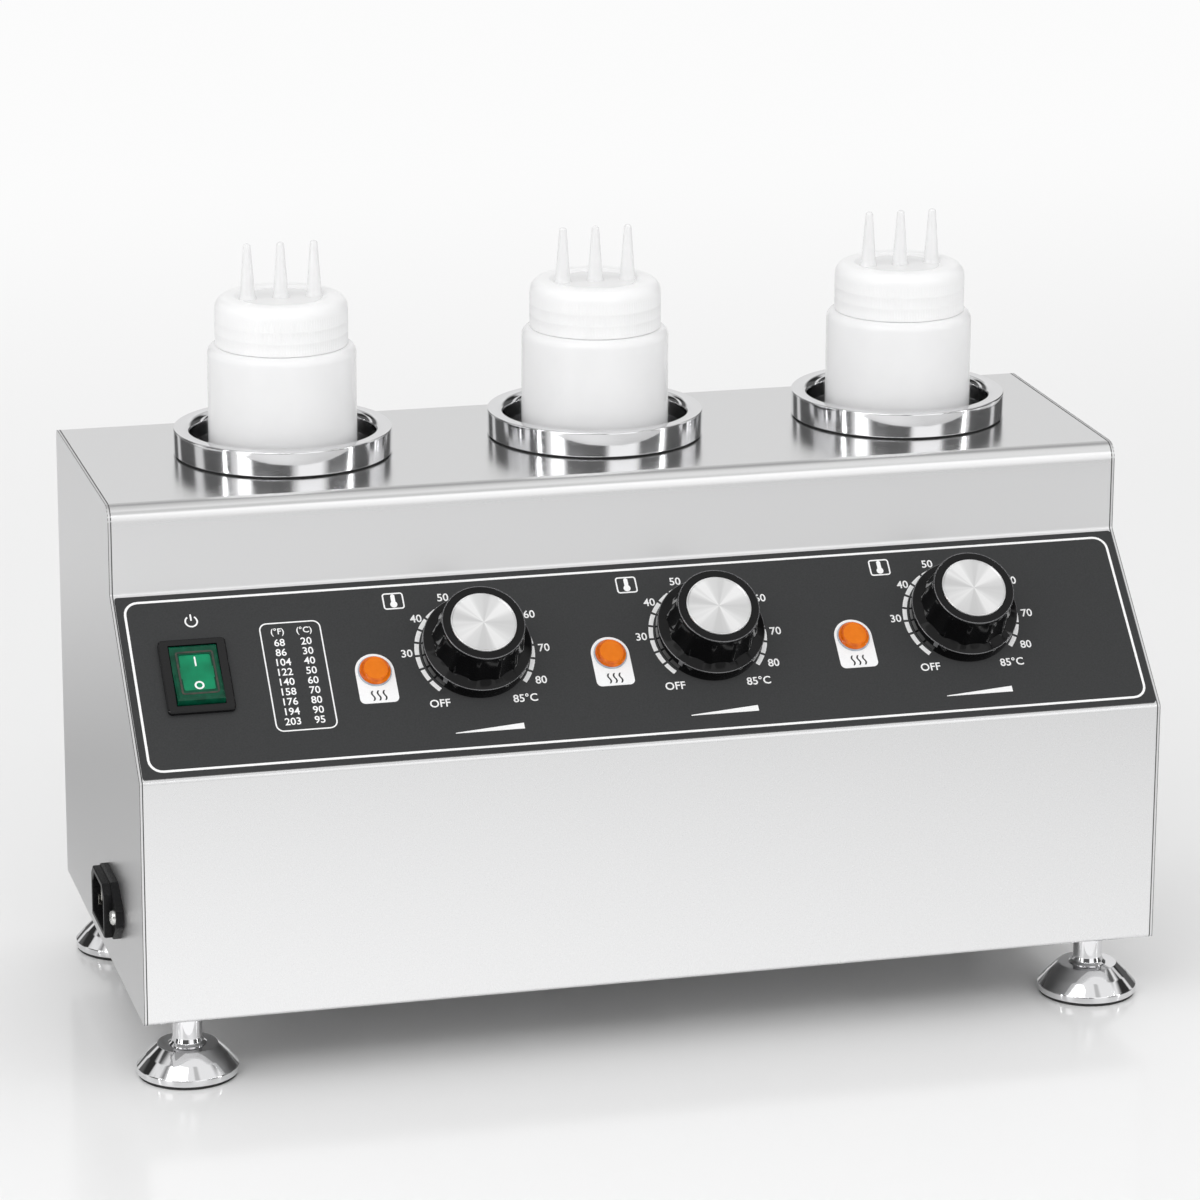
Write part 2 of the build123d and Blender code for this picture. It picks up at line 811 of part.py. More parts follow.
def make_rocker():
    """Rocker with ends on an arc about its pivot, a shallow valley and a recessed window."""
    frame = panel_at(switch_place, switch_rise)
    side = Plane(origin=frame.origin, x_dir=frame.y_dir, z_dir=frame.x_dir)
    ridge = (rocker_swing_radius**2 - rocker_crown**2) ** 0.5
    foot = (rocker_swing_radius**2 - rocker_skirt**2) ** 0.5
    with BuildPart() as rocker:
        with BuildSketch(side.offset(-rocker_width / 2)):
            with BuildLine():
                Line((-ridge, rocker_crown), (0, rocker_crown - rocker_valley))
                Line((0, rocker_crown - rocker_valley), (ridge, rocker_crown))
                ThreePointArc((ridge, rocker_crown), (rocker_swing_radius, 0), (foot, -rocker_skirt))
                Line((foot, -rocker_skirt), (-foot, -rocker_skirt))
                ThreePointArc(
                    (-foot, -rocker_skirt), (-rocker_swing_radius, 0), (-ridge, rocker_crown)
                )
            make_face()
        extrude(amount=rocker_width)
        outward = Axis(frame.origin, frame.z_dir)
        crown = rocker.faces().sort_by(outward)[-2:]
        edges = [edge for face in crown for edge in face.edges()]
        ends = [edge for edge in edges if abs(frame.to_local_coords(edge.center()).Y) > ridge - 0.1]
        sides = [edge for edge in edges if abs(frame.to_local_coords(edge.center()).X) > 1]
        chamfer(ends + [edge for edge in sides if edge not in ends], rocker_edge)
        with BuildSketch(frame.offset(rocker_crown - rocker_valley / 2 - window_depth)):
            RectangleRounded(window_width, window_length, 0.8)
        extrude(amount=rocker_crown, mode=Mode.SUBTRACT)
        pin_span = rocker_width + 2 * rocker_pin_reach
        with BuildSketch(side.offset(-pin_span / 2)):
            Circle(rocker_pin_radius)
        extrude(amount=pin_span)
    return rocker.part.rotate(Axis(frame.origin, frame.x_dir), -rocker_tilt)


def inlet_outline(length, height, chamfer_size):
    """Socket outline with its two upper corners cut off."""
    with BuildLine() as outline:
        Polyline(
            (-length / 2, -height / 2),
            (length / 2, -height / 2),
            (length / 2, height / 2 - chamfer_size),
            (length / 2 - chamfer_size, height / 2),
            (-length / 2 + chamfer_size, height / 2),
            (-length / 2, height / 2 - chamfer_size),
            close=True,
        )
    make_face(outline.edges())


def make_inlet_housing():
    """Mains inlet: flange with two screw ears, shroud, socket and body behind the panel."""
    face = inlet_flange_thickness + inlet_shroud_proud
    floor = face - inlet_socket_depth
    tip = inlet_ear_tip / 2
    with BuildPart() as housing:
        with BuildSketch(inlet_frame):
            with BuildLine():
                FilletPolyline(
                    (-inlet_flange_length / 2, -inlet_flange_height / 2),
                    (inlet_flange_length / 2, -inlet_flange_height / 2),
                    (inlet_ear_span / 2, -tip),
                    (inlet_ear_span / 2, tip),
                    (inlet_flange_length / 2, inlet_flange_height / 2),
                    (-inlet_flange_length / 2, inlet_flange_height / 2),
                    (-inlet_ear_span / 2, tip),
                    (-inlet_ear_span / 2, -tip),
                    radius=1.5,
                    close=True,
                )
            make_face()
            with GridLocations(inlet_screw_span, 1, 2, 1):
                Circle(screw_radius + screw_hole_clearance, mode=Mode.SUBTRACT)
        extrude(amount=inlet_flange_thickness)
        with BuildSketch(inlet_frame.offset(inlet_flange_thickness)):
            shroud_chamfer = inlet_chamfer - (inlet_shroud_length - inlet_socket_length) / 4
            inlet_outline(inlet_shroud_length, inlet_shroud_height, shroud_chamfer)
        extrude(amount=inlet_shroud_proud)
        with BuildSketch(inlet_frame):
            Rectangle(inlet_body_length, inlet_body_height)
        extrude(amount=floor - inlet_floor)
        with BuildSketch(inlet_frame.offset(face)):
            inlet_outline(inlet_socket_length, inlet_socket_height, inlet_chamfer)
        extrude(amount=-inlet_socket_depth, mode=Mode.SUBTRACT)
        with BuildSketch(inlet_frame.offset(floor)):
            with Locations(*pin_places()):
                Rectangle(
                    pin_thickness + 2 * pin_seat_clearance, pin_width + 2 * pin_seat_clearance
                )
        extrude(amount=-2 * inlet_floor, mode=Mode.SUBTRACT)
    return housing.part


def pin_places():
    """Line and neutral pins in a row, earth between them and nearer the cut corners."""
    low = -earth_pin_offset
    return [(-pin_spread, low), (0, earth_pin_offset), (pin_spread, low)]


def make_inlet_pins():
    """Three flat pins that run through the inlet's floor and end as spade tabs."""
    face = inlet_flange_thickness + inlet_shroud_proud
    back = face - inlet_socket_depth - inlet_floor
    with BuildPart() as pins:
        with BuildSketch(inlet_frame.offset(face - pin_recess)):
            with Locations(*pin_places()):
                Rectangle(pin_thickness, pin_width)
        extrude(amount=back - tab_length - face + pin_recess)
    return pins.part


def make_terminal_block():
    """Three-way block on the base plate, with a wire way and a screw well per way."""
    with BuildPart() as block:
        with BuildSketch(upright_at((left_x + block_place, inlet_frame.origin.Y), base_z)):
            Rectangle(block_width, block_length)
        extrude(amount=block_height)
        chamfer(block.faces().sort_by(Axis.Z)[-1].edges().filter_by(Axis.Y), 3.0)
        with BuildSketch(Plane.YZ.offset(left_x + block_place - block_width)):
            with Locations((inlet_frame.origin.Y, block_way_z)):
                with GridLocations(block_way_pitch, 1, 3, 1):
                    Circle(block_way_radius)
        extrude(amount=2 * block_width, mode=Mode.SUBTRACT)
        top_place = (left_x + block_place, inlet_frame.origin.Y)
        with BuildSketch(upright_at(top_place, base_z + block_height)):
            with GridLocations(1, block_way_pitch, 1, 3):
                Circle(block_way_radius)
        extrude(amount=-block_height / 2, mode=Mode.SUBTRACT)
    return block.part


def swept_tube(points, radius, bend):
    """Round tube along straight runs joined by arcs."""
    with BuildLine() as path:
        FilletPolyline(*points, radius=bend)
    start = path.line @ 0
    with BuildSketch(Plane(origin=start, z_dir=path.line % 0)) as tube_section:
        Circle(radius)
    sweep(sections=tube_section.sketch, path=path.line)


def make_capillaries():
    """Sensing bulbs beside the wells, each with its tube to the back of its thermostat."""
    with BuildPart() as capillaries:
        for place, well_place in zip(knob_places, well_places):
            frame = panel_at(place, knob_rise)
            bulb_y = well_place[1] - well_outer_radius - bulb_radius - heater_fit
            bulb_foot = Vector(well_place[0], bulb_y, deck_z - bulb_drop)
            start = frame.from_local_coords(Vector(0, 0, -case_back - diaphragm_height))
            leave = start - frame.z_dir * capillary_lead
            below = bulb_foot - Vector(0, 0, capillary_lead)
            swept_tube([start, leave, below, bulb_foot], capillary_radius, capillary_bend)
            turned(
                upright_at((bulb_foot.X, bulb_foot.Y), bulb_foot.Z),
                [(0, 0), (bulb_radius, 0), (bulb_radius, bulb_length), (0, bulb_length)],
                [0, 1.0, 1.0, 0],
            )
    return capillaries.part


def lead(frame, x=0.0, y=0.0):
    """End of a wire on a terminal, and the point where it has left the terminal straight."""
    end = frame.from_local_coords(Vector(x, y, 0))
    return end, end + frame.z_dir * lead_out


def facing(frame):
    """The same place, looked at from the other side."""
    return Plane(origin=frame.origin, x_dir=frame.x_dir, z_dir=-frame.z_dir)


def thermostat_tab(number, column, row):
    """Lead of one of a thermostat's four tabs: column and row are -1 or 1."""
    frame = panel_at(knob_places[number], knob_rise, -case_back - tab_length)
    return lead(facing(frame), column * tab_column, -row * tab_row)


def switch_tab(row):
    """Lead of one of the three tabs of the switch, counted up the slope from -1 to 1."""
    frame = panel_at(
        switch_place, switch_rise, overlay_thickness - switch_body_depth - tab_length
    )
    return lead(facing(frame), 0, -row * switch_tab_pitch)


def inlet_tab(number):
    """Lead of one of the inlet's pins."""
    depth = inlet_socket_depth + inlet_floor + tab_length - inlet_proud
    x, y = pin_places()[number]
    end = inlet_frame.from_local_coords(Vector(x, y, -depth))
    return end, end + Vector(lead_out, 0, 0)


def block_way(row, side):
    """Lead of one of the ways of the block, on its left (-1) or right (1) face."""
    end = Vector(
        left_x + block_place + side * block_width / 2,
        inlet_frame.origin.Y + row * block_way_pitch,
        block_way_z,
    )
    return end, end + Vector(side * lead_out, 0, 0)


def wire_routes():
    """Points of each wire from terminal to terminal, clear of the wells and of each other."""
    routes = []
    for pin, row in ((0, 1), (1, 0)):
        start, leave = inlet_tab(pin)
        end, arrive = block_way(row, -1)
        routes.append([start, leave, arrive, end])
    start, leave = inlet_tab(2)
    end, arrive = switch_tab(-1)
    routes.append([start, leave, arrive, end])
    start, leave = switch_tab(1)
    end, arrive = thermostat_tab(0, -1, 1)
    routes.append([start, leave, arrive, end])
    for number in (0, 1):
        start, leave = thermostat_tab(number, 1, 1)
        end, arrive = thermostat_tab(number + 1, -1, 1)
        routes.append([start, leave, arrive, end])
    for number, place in enumerate(well_places):
        start, leave = thermostat_tab(number, -1, -1)
        end, arrive = lead(post_frame(place, -1))
        routes.append([start, leave, arrive, end])
        start, leave = block_way(1 - number, 1)
        end, arrive = lead(post_frame(place, 1))
        corner = Vector(arrive.X, leave.Y, leave.Z)
        routes.append([start, corner, arrive, end])
    return routes


def make_wiring():
    """Insulated leads between inlet, switch, terminal block and thermostats."""
    with BuildPart() as wiring:
        for route in wire_routes():
            swept_tube(route, wire_radius, wire_bend)
    return wiring.part


def make_foot_pad(place):
    """Rubber sole with a plug that holds it in the cone."""
    with BuildPart() as pad:
        turned(
            upright_at(place),
            [
                (0, 0),
                (pad_radius, 0),
                (pad_radius, pad_height),
                (pad_plug_radius, pad_height),
                (pad_plug_radius, pad_height + pad_plug_height),
                (0, pad_height + pad_plug_height),
            ],
            [0, 0.4, 0, 0, 0, 0],
        )
    return pad.part


def make_foot_cone(place):
    """Pressed chrome cone, hollow below, with an upright rim and a flat top."""
    lean = atan2(cone_radius - cone_top_radius, cone_top_height - pad_height - cone_rim)
    inner_top = cone_top_height - cone_wall
    inner_top_radius = cone_top_radius - cone_wall * 0.4
    inner_foot = cone_radius - cone_wall / cos(lean)
    with BuildPart() as cone:
        turned(
            upright_at(place),
            [
                (stud_radius, cone_top_height),
                (cone_top_radius, cone_top_height),
                (cone_radius, pad_height + cone_rim),
                (cone_radius, pad_height),
                (pad_plug_radius, pad_height),
                (pad_plug_radius, pad_height + pad_plug_height),
                (inner_foot, pad_height + cone_rim),
                (inner_top_radius, inner_top),
                (stud_radius, inner_top),
            ],
            [0, 0.5, 0.8, 0.4, 0, 0, 0, 0, 0],
        )
    return cone.part


def make_foot_stud(place):
    """Stem with a flared lower end, carried on by the threaded stud above it."""
    stem_top = base_z - sheet - stem_gap
    with BuildPart() as stud:
        turned(
            upright_at(place),
            [
                (0, cone_top_height - cone_wall),
                (stud_radius, cone_top_height - cone_wall),
                (stud_radius, cone_top_height),
                (stem_flare_radius, cone_top_height),
                (stem_flare_radius, cone_top_height + stem_flare_height / 2),
                (stem_radius, cone_top_height + stem_flare_height),
                (stem_radius, stem_top),
                (stud_radius, stem_top),
                (stud_radius, base_z + stud_reach),
                (0, base_z + stud_reach),
            ],
            [0, 0, 0, 0, 0.4, 0, 0, 0, 0.8, 0],
        )
    return stud.part


def make_bottle(place):
    """Blown squeeze bottle with a punt, rounded shoulder and plain neck."""
    bottom = well_floor_z + bottle_clearance
    inside = bottle_radius - bottle_wall
    with BuildPart() as bottle:
        turned(
            upright_at(place),
            [
                (0, bottom + bottle_punt),
                (punt_radius, bottom + bottle_punt),
                (punt_radius + bottle_punt, bottom),
                (bottle_radius, bottom),
                (bottle_radius, shoulder_z),
                (neck_radius, shoulder_z),
                (neck_radius, neck_top_z),
                (neck_radius - bottle_wall, neck_top_z),
                (neck_radius - bottle_wall, shoulder_z - bottle_wall),
                (inside, shoulder_z - bottle_wall),
                (inside, bottom + bottle_wall),
                (punt_radius + bottle_punt, bottom + bottle_wall),
                (punt_radius, bottom + bottle_wall + bottle_punt),
                (0, bottom + bottle_wall + bottle_punt),
            ],
            [0, 0, 0, bottle_base_bend, shoulder_bend, 0, 0.5, 0.3, 0, 2, bottle_base_bend - 1, 0, 0, 0],
        )
    return bottle.part


def make_cap_ring(place):
    """Sealing ring between the bottle's lip and the cap."""
    with BuildPart() as ring:
        with BuildSketch(upright_at(place, neck_top_z + bottle_clearance)):
            Circle(cap_ring_radius)
            Circle(cap_ring_radius - cap_ring_width, mode=Mode.SUBTRACT)
        extrude(amount=cap_ring_thickness)
    return ring.part


def make_cap(place):
    """Screw cap with a dished top, two grip bands and a row of three tapered nozzles."""
    inner = neck_radius + cap_neck_gap
    relief = cap_radius - grip_band_relief
    foot = cap_bottom_z + 1.6
    waist = foot + grip_band_height
    upper = waist + 1.4
    brow = upper + grip_band_height
    with BuildPart() as cap:
        turned(
            upright_at(place),
            [
                (inner, cap_bottom_z),
                (cap_radius, cap_bottom_z),
                (cap_radius, foot),
                (relief, foot),
                (relief, waist),
                (cap_radius, waist),
                (cap_radius, upper),
                (relief, upper),
                (relief, brow),
                (cap_radius, brow),
                (cap_radius, cap_top_z),
                (cap_dish_radius, cap_top_z),
                (cap_dish_radius - cap_dish_depth, cap_dish_z),
                (0, cap_dish_z),
                (0, cap_ceiling_z),
                (inner, cap_ceiling_z),
            ],
            [0, 0.4, 0, 0, 0, 0, 0, 0, 0, 0, cap_edge, 0.8, 0, 0, 0, 0],
        )
        for step in (-1, 0, 1):
            nozzle = upright_at((place[0] + step * nozzle_pitch, place[1]), cap_dish_z)
            turned(
                nozzle,
                [
                    (0, -cap_top_thickness / 2),
                    (nozzle_foot_radius, -cap_top_thickness / 2),
                    (nozzle_foot_radius, nozzle_foot_height),
                    (nozzle_base_radius, nozzle_foot_height + 0.5),
                    (nozzle_tip_radius, nozzle_height),
                    (0, nozzle_height),
                ],
                [0, 0, 0.3, 0, nozzle_tip_radius * 0.8, 0],
            )
            turned(
                nozzle,
                [
                    (0, -cap_top_thickness - 1),
                    (nozzle_bore_base_radius, -cap_top_thickness - 1),
                    (nozzle_bore_tip_radius, nozzle_height + 1),
                    (0, nozzle_height + 1),
                ],
                mode=Mode.SUBTRACT,
            )
    return cap.part


save(make_body_wrap(), "body_wrap")
save(make_side_panel(left_x, 1), "side_panel_left")
save(make_side_panel(right_x, -1), "side_panel_right")
save(make_base_plate(), "base_plate")
save(make_panel_screws(), "panel_screws")
save(make_overlay(), "control_overlay")
save(make_collar_seals(), "collar_seals")
save(make_lamp_bodies(), "lamp_bodies")
save(make_capillaries(), "capillaries")
save(make_switch_housing(), "switch_housing")
save(make_rocker(), "switch_rocker")
save(make_inlet_housing(), "inlet_housing")
save(make_inlet_pins(), "inlet_pins")
save(make_terminal_block(), "terminal_block")
save(make_wiring(), "wiring")

for number, place in enumerate(well_places, start=1):
    save(make_collar(place), f"collar_{number}")
    save(make_well(place), f"well_{number}")
    save(make_heater(place), f"band_heater_{number}")
    save(make_bottle(place), f"bottle_{number}")
    save(make_cap_ring(place), f"cap_ring_{number}")
    save(make_cap(place), f"nozzle_cap_{number}")

for number, place in enumerate(knob_places, start=1):
    save(make_thermostat(place), f"thermostat_{number}")
    save(make_shaft(place), f"thermostat_shaft_{number}")
    save(make_knob(place), f"knob_{number}")
    save(make_knob_disc(place), f"knob_disc_{number}")

for number, place in enumerate(lamp_places, start=1):
    save(make_lens(place), f"lamp_lens_{number}")

for number, place in enumerate(foot_places, start=1):
    save(make_foot_pad(place), f"foot_pad_{number}")
    save(make_foot_cone(place), f"foot_cone_{number}")
    save(make_foot_stud(place), f"foot_stud_{number}")
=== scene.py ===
import math

import bmesh
import bpy
from mathutils import Matrix, Vector


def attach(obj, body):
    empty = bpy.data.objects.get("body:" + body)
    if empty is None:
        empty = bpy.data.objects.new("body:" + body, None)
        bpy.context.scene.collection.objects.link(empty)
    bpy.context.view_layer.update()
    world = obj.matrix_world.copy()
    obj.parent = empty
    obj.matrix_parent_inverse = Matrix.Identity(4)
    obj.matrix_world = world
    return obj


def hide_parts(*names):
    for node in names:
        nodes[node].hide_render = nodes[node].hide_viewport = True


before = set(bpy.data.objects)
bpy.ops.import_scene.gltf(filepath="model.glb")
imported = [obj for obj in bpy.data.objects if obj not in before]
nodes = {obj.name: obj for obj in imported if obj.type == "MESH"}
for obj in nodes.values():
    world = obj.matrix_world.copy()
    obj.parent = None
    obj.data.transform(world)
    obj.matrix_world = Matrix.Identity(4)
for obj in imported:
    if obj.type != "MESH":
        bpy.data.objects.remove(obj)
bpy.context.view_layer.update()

# Sizes in millimetres, in the frame of the part: +Z up, the front faces -Y.
MM = 0.001

# Body, with the outer radii of its bends from the foot of the front to the foot of the back
left_x = -192.0
right_x = 198.0
middle_x = (left_x + right_x) / 2
front_y = -89.0
back_y = 89.0
base_z = 26.7
deck_z = 207.2
sheet = 1.0
front_height = 93.0
slope_run = 57.4
slope_rise = 54.2
slope_length = math.hypot(slope_run, slope_rise)
body_bends = (1.5, 2.0, 2.0, 6.0, 3.0, 1.5)

# Places on the sloped panel, to the right of its left end and up the slope
overlay_top = 0.4
panel_middle = (right_x - left_x) / 2
panel_frame = (381.8, 71.6)
knob_places = (131.5, 221.0, 320.5)
knob_rise = 44.5
lamp_places = (92.8, 182.2, 276.7)
lamp_rise = 39.0
switch_place = 26.9
switch_rise = 42.0

# Printed marks
print_sink = 0.05  # how deep the print reaches into the film
print_proud = 0.06
label_proud = 0.1
table_place = (64.3, 39.6)
table_frame = (23.0, 45.8)
table_columns = (59.5, 69.5)
table_first_row = 53.8
table_row_pitch = 4.15
tick_inner_radius = 20.9
tick_outer_radius = 22.6
tick_count = 18
dial_start = 225.5  # this and the next two in degrees
tick_pitch = 14.875
tick_half_length = 6.2
thermometer_places = (104.6, 194.0, 293.4)
thermometer_rise = 68.2
power_place = (28.4, 65.5)
label_half_width = 7.3
label_foot = 25.7
wave_foot = 26.7

# Wells, collars, bottles and caps
well_pitch = 122.5
well_places = [(9.0 + step * well_pitch, 34.5) for step in (-1, 0, 1)]
well_rim_radius = 39.4
well_wall = 0.8
seal_thickness = 1.2
collar_radius = 41.6
collar_bore_radius = 34.9
collar_height = 8.8
collar_skirt = 0.8
collar_skirt_drop = 0.6
bottle_radius = 28.25
bottle_wall = 1.2
bottle_base = -131.7  # heights of the bottle are measured from the deck
bottle_punt = 1.5
punt_radius = 19.0
punt_slope = 1.5
shoulder_height = 42.2
shoulder_inside = 40.8
neck_radius = 22.9
neck_top = 55.2
cap_base = 42.3
cap_radius = 25.2
cap_bore_radius = 23.4
cap_height = 18.4
cap_ceiling = 14.9
cap_dish_height = 17.5
cap_dish_radius = 17.6
cap_floor_radius = 15.8
cap_shoulder_radius = 25.0
rib_bands = ((1.0, 4.6), (5.4, 9.0), (9.8, 13.4))
rib_band_radius = 25.1
rib_count = 144
rib_depth = 0.16
rib_sink = 0.06
nozzle_pitch = 12.8
nozzle_top = 38.8
nozzle_tip_radius = 1.35
nozzle_base_radius = 2.85
nozzle_foot_radius = 3.4

# Knobs and lamps
skirt_radius = 20.4
skirt_bore_radius = 18.6
skirt_base = 1.0
skirt_top = 7.0
skirt_inside = 5.2
grip_foot_radius = 17.2
grip_foot = 7.95
grip_lean = 1.7
grip_rise = 11.3
knob_top = 21.4
knob_top_radius = 15.5
disc_seat = 20.6
disc_pocket_radius = 12.3
disc_radius = 12.25
hub_radius = 9.4
hub_base = 6.8
flute_count = 12
flute_depth = 0.75
lens_radius = 5.85
lens_height = 2.5
lens_stem_radius = 4.2
lens_stem_length = 6.0
surround_radius = 6.3

# Rocker, with its window as heights above the pivot
rocker_tilt = -5  # in degrees
window_floor = 3.25
window_shift = -0.3
window_size = (12.4, 17.0)
window_edge_size = (14.1, 19.0)

# Mains inlet, on the left side
inlet_y = -24.5
inlet_z = 53.7
inlet_flange_thickness = 3.0
inlet_face = 6.0
socket_length = 24.4
socket_height = 16.6
shroud_length = 28.6
shroud_height = 20.4

# Screws and feet
screw_edge = 7.5
screw_columns = (-135.0, 0.0, 135.0)
side_screw_rows = (-45.0, 45.0)
inlet_screws = (-20.0, 20.0)
screw_head_radius = 2.8
screw_head_height = 1.7
screw_radius = 1.5
screw_length = 6.0
foot_places = [(x, y) for y in (-70.0, 70.0) for x in (-173.0, 179.0)]
pad_radius = 18.4
pad_height = 1.2
pad_plug_radius = 15.0
pad_plug_top = 2.2
cone_radius = 19.0
cone_rim_top = 3.7
cone_top = 11.9
cone_top_radius = 11.2
cone_ceiling = 9.9
stud_radius = 4.0
stud_reach = 19.0
stem_radius = 5.5
stem_gap = 0.3


# Shader nodes

def add_node(tree, kind, inputs, **settings):
    """New shader node; inputs holds a value or another node's output by name or number."""
    made = tree.nodes.new("ShaderNode" + kind)
    for key, value in settings.items():
        setattr(made, key, value)
    for key, source in inputs.items():
        if isinstance(source, bpy.types.NodeSocket):
            tree.links.new(source, made.inputs[key])
        else:
            made.inputs[key].default_value = source
    return made


def calculated(tree, operation, *terms):
    return add_node(tree, "Math", dict(enumerate(terms)), operation=operation).outputs[0]


def mixed(tree, factor, first, second):
    return add_node(tree, "MixRGB", {0: factor, 1: first, 2: second}).outputs[0]


def coordinate(tree, kind, axis):
    spot = tree.nodes.new("ShaderNodeTexCoord").outputs[kind]
    return add_node(tree, "SeparateXYZ", {0: spot}).outputs[axis]


def grey(level):
    return (level, level, level, 1)


def ramp(tree, factor, stops):
    """Grey level by stops of (position, level)."""
    made = add_node(tree, "ValToRGB", {0: factor})
    elements = made.color_ramp.elements
    while len(elements) < len(stops):
        elements.new(0.5)
    for element, (position, level) in zip(elements, stops):
        element.position = position
        element.color = grey(level)
    return made.outputs[0]


# Camera and light, in metres

def add_object(name, data):
    made = bpy.data.objects.new(name, data)
    bpy.context.scene.collection.objects.link(made)
    return made


def point_camera():
    """Pinhole camera fitted to the photo."""
    yaw, pitch, roll = (math.radians(angle) for angle in (14.83, 16.28, 0.25))
    place = (-0.4741, -1.7994, 0.6933)
    focal_pixels, picture_pixels, sensor_width = 5064.4, 1200, 36
    level_ahead = Vector((math.sin(yaw), math.cos(yaw), 0))
    ahead = level_ahead * math.cos(pitch) - Vector((0, 0, math.sin(pitch)))
    level = Vector((math.cos(yaw), -math.sin(yaw), 0))
    upward = level.cross(ahead)
    right = level * math.cos(roll) + upward * math.sin(roll)
    up = upward * math.cos(roll) - level * math.sin(roll)
    camera = add_object("camera", bpy.data.cameras.new("camera"))
    turn = Matrix((right, up, -ahead)).transposed()
    camera.matrix_world = Matrix.Translation(place) @ turn.to_4x4()
    camera.data.sensor_width = sensor_width
    camera.data.lens = focal_pixels / picture_pixels * sensor_width
    camera.data.clip_start = 0.05
    bpy.context.scene.camera = camera


def softbox(name, place, width, height, power, target=(0, 0, 0.15)):
    light = bpy.data.lights.new(name, "AREA")
    light.shape = "RECTANGLE"
    light.size = width
    light.size_y = height
    light.energy = power
    aim = (Vector(target) - Vector(place)).to_track_quat("-Z", "Y")
    add_object(name, light).matrix_world = Matrix.Translation(place) @ aim.to_matrix().to_4x4()


# Dark flags that only reflections see, as (angle in degrees from the front to the right, share)
low_flags = (
    (-176, 0), (-168, 1), (-157, 1), (-155, 0), (-149, 0), (-147, 1), (-118, 1), (-115, 0),
    (-105, 0), (-102, 1), (-70, 1), (-65, 0), (-48, 0), (-43, 1), (-4, 1), (1, 0),
    (30, 0), (36, 1), (60, 1), (62, 0), (66, 0), (68, 1), (104, 1), (106, 0),
    (112, 0), (114, 1), (140, 1), (150, 0),
)
high_flags = (
    (-140, 0), (-128, 1), (-114, 0.9), (-102, 0.1), (-92, 0.1), (-82, 0.8), (-72, 0), (8, 0),
    (13, 0.4), (22, 0.4), (28, 0), (66, 0), (80, 0.9), (92, 0.9), (102, 0),
)
back_flags = ((-180, 1), (-129.6, 1), (-93.6, 0), (93.6, 0), (129.6, 1))
# The heights where each set of flags is dark, as (sine of the elevation, share)
low_band = ((0.3, 0.9), (0.38, 1), (0.54, 1), (0.62, 0))
high_band = ((0.64, 0), (0.68, 1), (0.89, 1), (0.91, 0))
back_band = ((0.4, 0), (0.46, 0.5), (0.52, 0.5), (0.6, 0.2), (0.7, 0.6), (0.9, 0.6), (0.96, 0.2))


def light_world():
    """Pale studio: plain to diffuse rays, flagged to reflections and nearly white to the camera."""
    world = bpy.data.worlds.new("studio")
    bpy.context.scene.world = world
    world.use_nodes = True
    tree = world.node_tree
    height = coordinate(tree, "Generated", "Z")
    ahead = calculated(tree, "MULTIPLY", coordinate(tree, "Generated", "Y"), -1.0)
    angle = calculated(tree, "ARCTAN2", coordinate(tree, "Generated", "X"), ahead)
    turn = calculated(tree, "MULTIPLY_ADD", angle, 1 / (2 * math.pi), 0.5)
    plain = ramp(tree, height, [(0.15, 0.72), (0.6, 0.86)])
    shade = ramp(tree, height, [(0.15, 0.74), (0.6, 0.92), (0.95, 0.9), (0.99, 0.74)])
    for flags, band, level in (
        (back_flags, back_band, 0.12),
        (low_flags, low_band, 0.03),
        (high_flags, high_band, 0.04),
    ):
        flagged = ramp(tree, turn, [((degrees + 180) / 360, share) for degrees, share in flags])
        dark = calculated(tree, "MULTIPLY", flagged, ramp(tree, height, band))
        shade = mixed(tree, dark, shade, grey(level))
    rays = tree.nodes.new("ShaderNodeLightPath").outputs
    mirrored = mixed(tree, rays["Is Glossy Ray"], plain, shade)
    seen = mixed(tree, rays["Is Camera Ray"], mirrored, grey(0.97))
    tree.links.new(seen, tree.nodes["Background"].inputs["Color"])


bpy.context.scene.view_settings.view_transform = "Standard"
point_camera()
light_world()
softbox("key", (-1.3, -1.2, 1.9), 1.6, 1.6, 6, (0, 0, 0.1))
softbox("tube_front", (-0.81, -1.53, 1.5), 1.4, 0.08, 3.2)
softbox("tube_front_right", (1.42, -1.27, 1.25), 0.8, 0.06, 1.4)
softbox("strip_left", (-1.6, -1.15, 0.6), 0.5, 1.3, 2.4)
softbox("strip_right", (0.6, -1.85, 0.85), 1.2, 1.6, 2.2)
softbox("tube_left", (-1.8, -0.45, 0.7), 0.05, 1.2, 2)
softbox("tube_right", (1.6, -0.85, 0.7), 0.05, 1.2, 2)


# Materials

def material(name, color, roughness, metallic=0.0, **more):
    made = bpy.data.materials.new(name)
    made.use_nodes = True
    shader = made.node_tree.nodes["Principled BSDF"]
    shader.inputs["Base Color"].default_value = (*color, 1)
    shader.inputs["Roughness"].default_value = roughness
    shader.inputs["Metallic"].default_value = metallic
    for key, value in more.items():
        shader.inputs[key.replace("_", " ")].default_value = value
    return made


def feed(made, name, source):
    """Links a socket to an input of a material's main shader."""
    tree = made.node_tree
    tree.links.new(source, tree.nodes["Principled BSDF"].inputs[name])


def noise(made, scale, stretch=(1, 1, 1), detail=3.0):
    tree = made.node_tree
    spot = tree.nodes.new("ShaderNodeTexCoord").outputs["Object"]
    mapped = add_node(tree, "Mapping", {"Vector": spot, "Scale": stretch}).outputs[0]
    texture = add_node(tree, "TexNoise", {"Vector": mapped, "Scale": scale, "Detail": detail})
    return texture.outputs["Fac"]


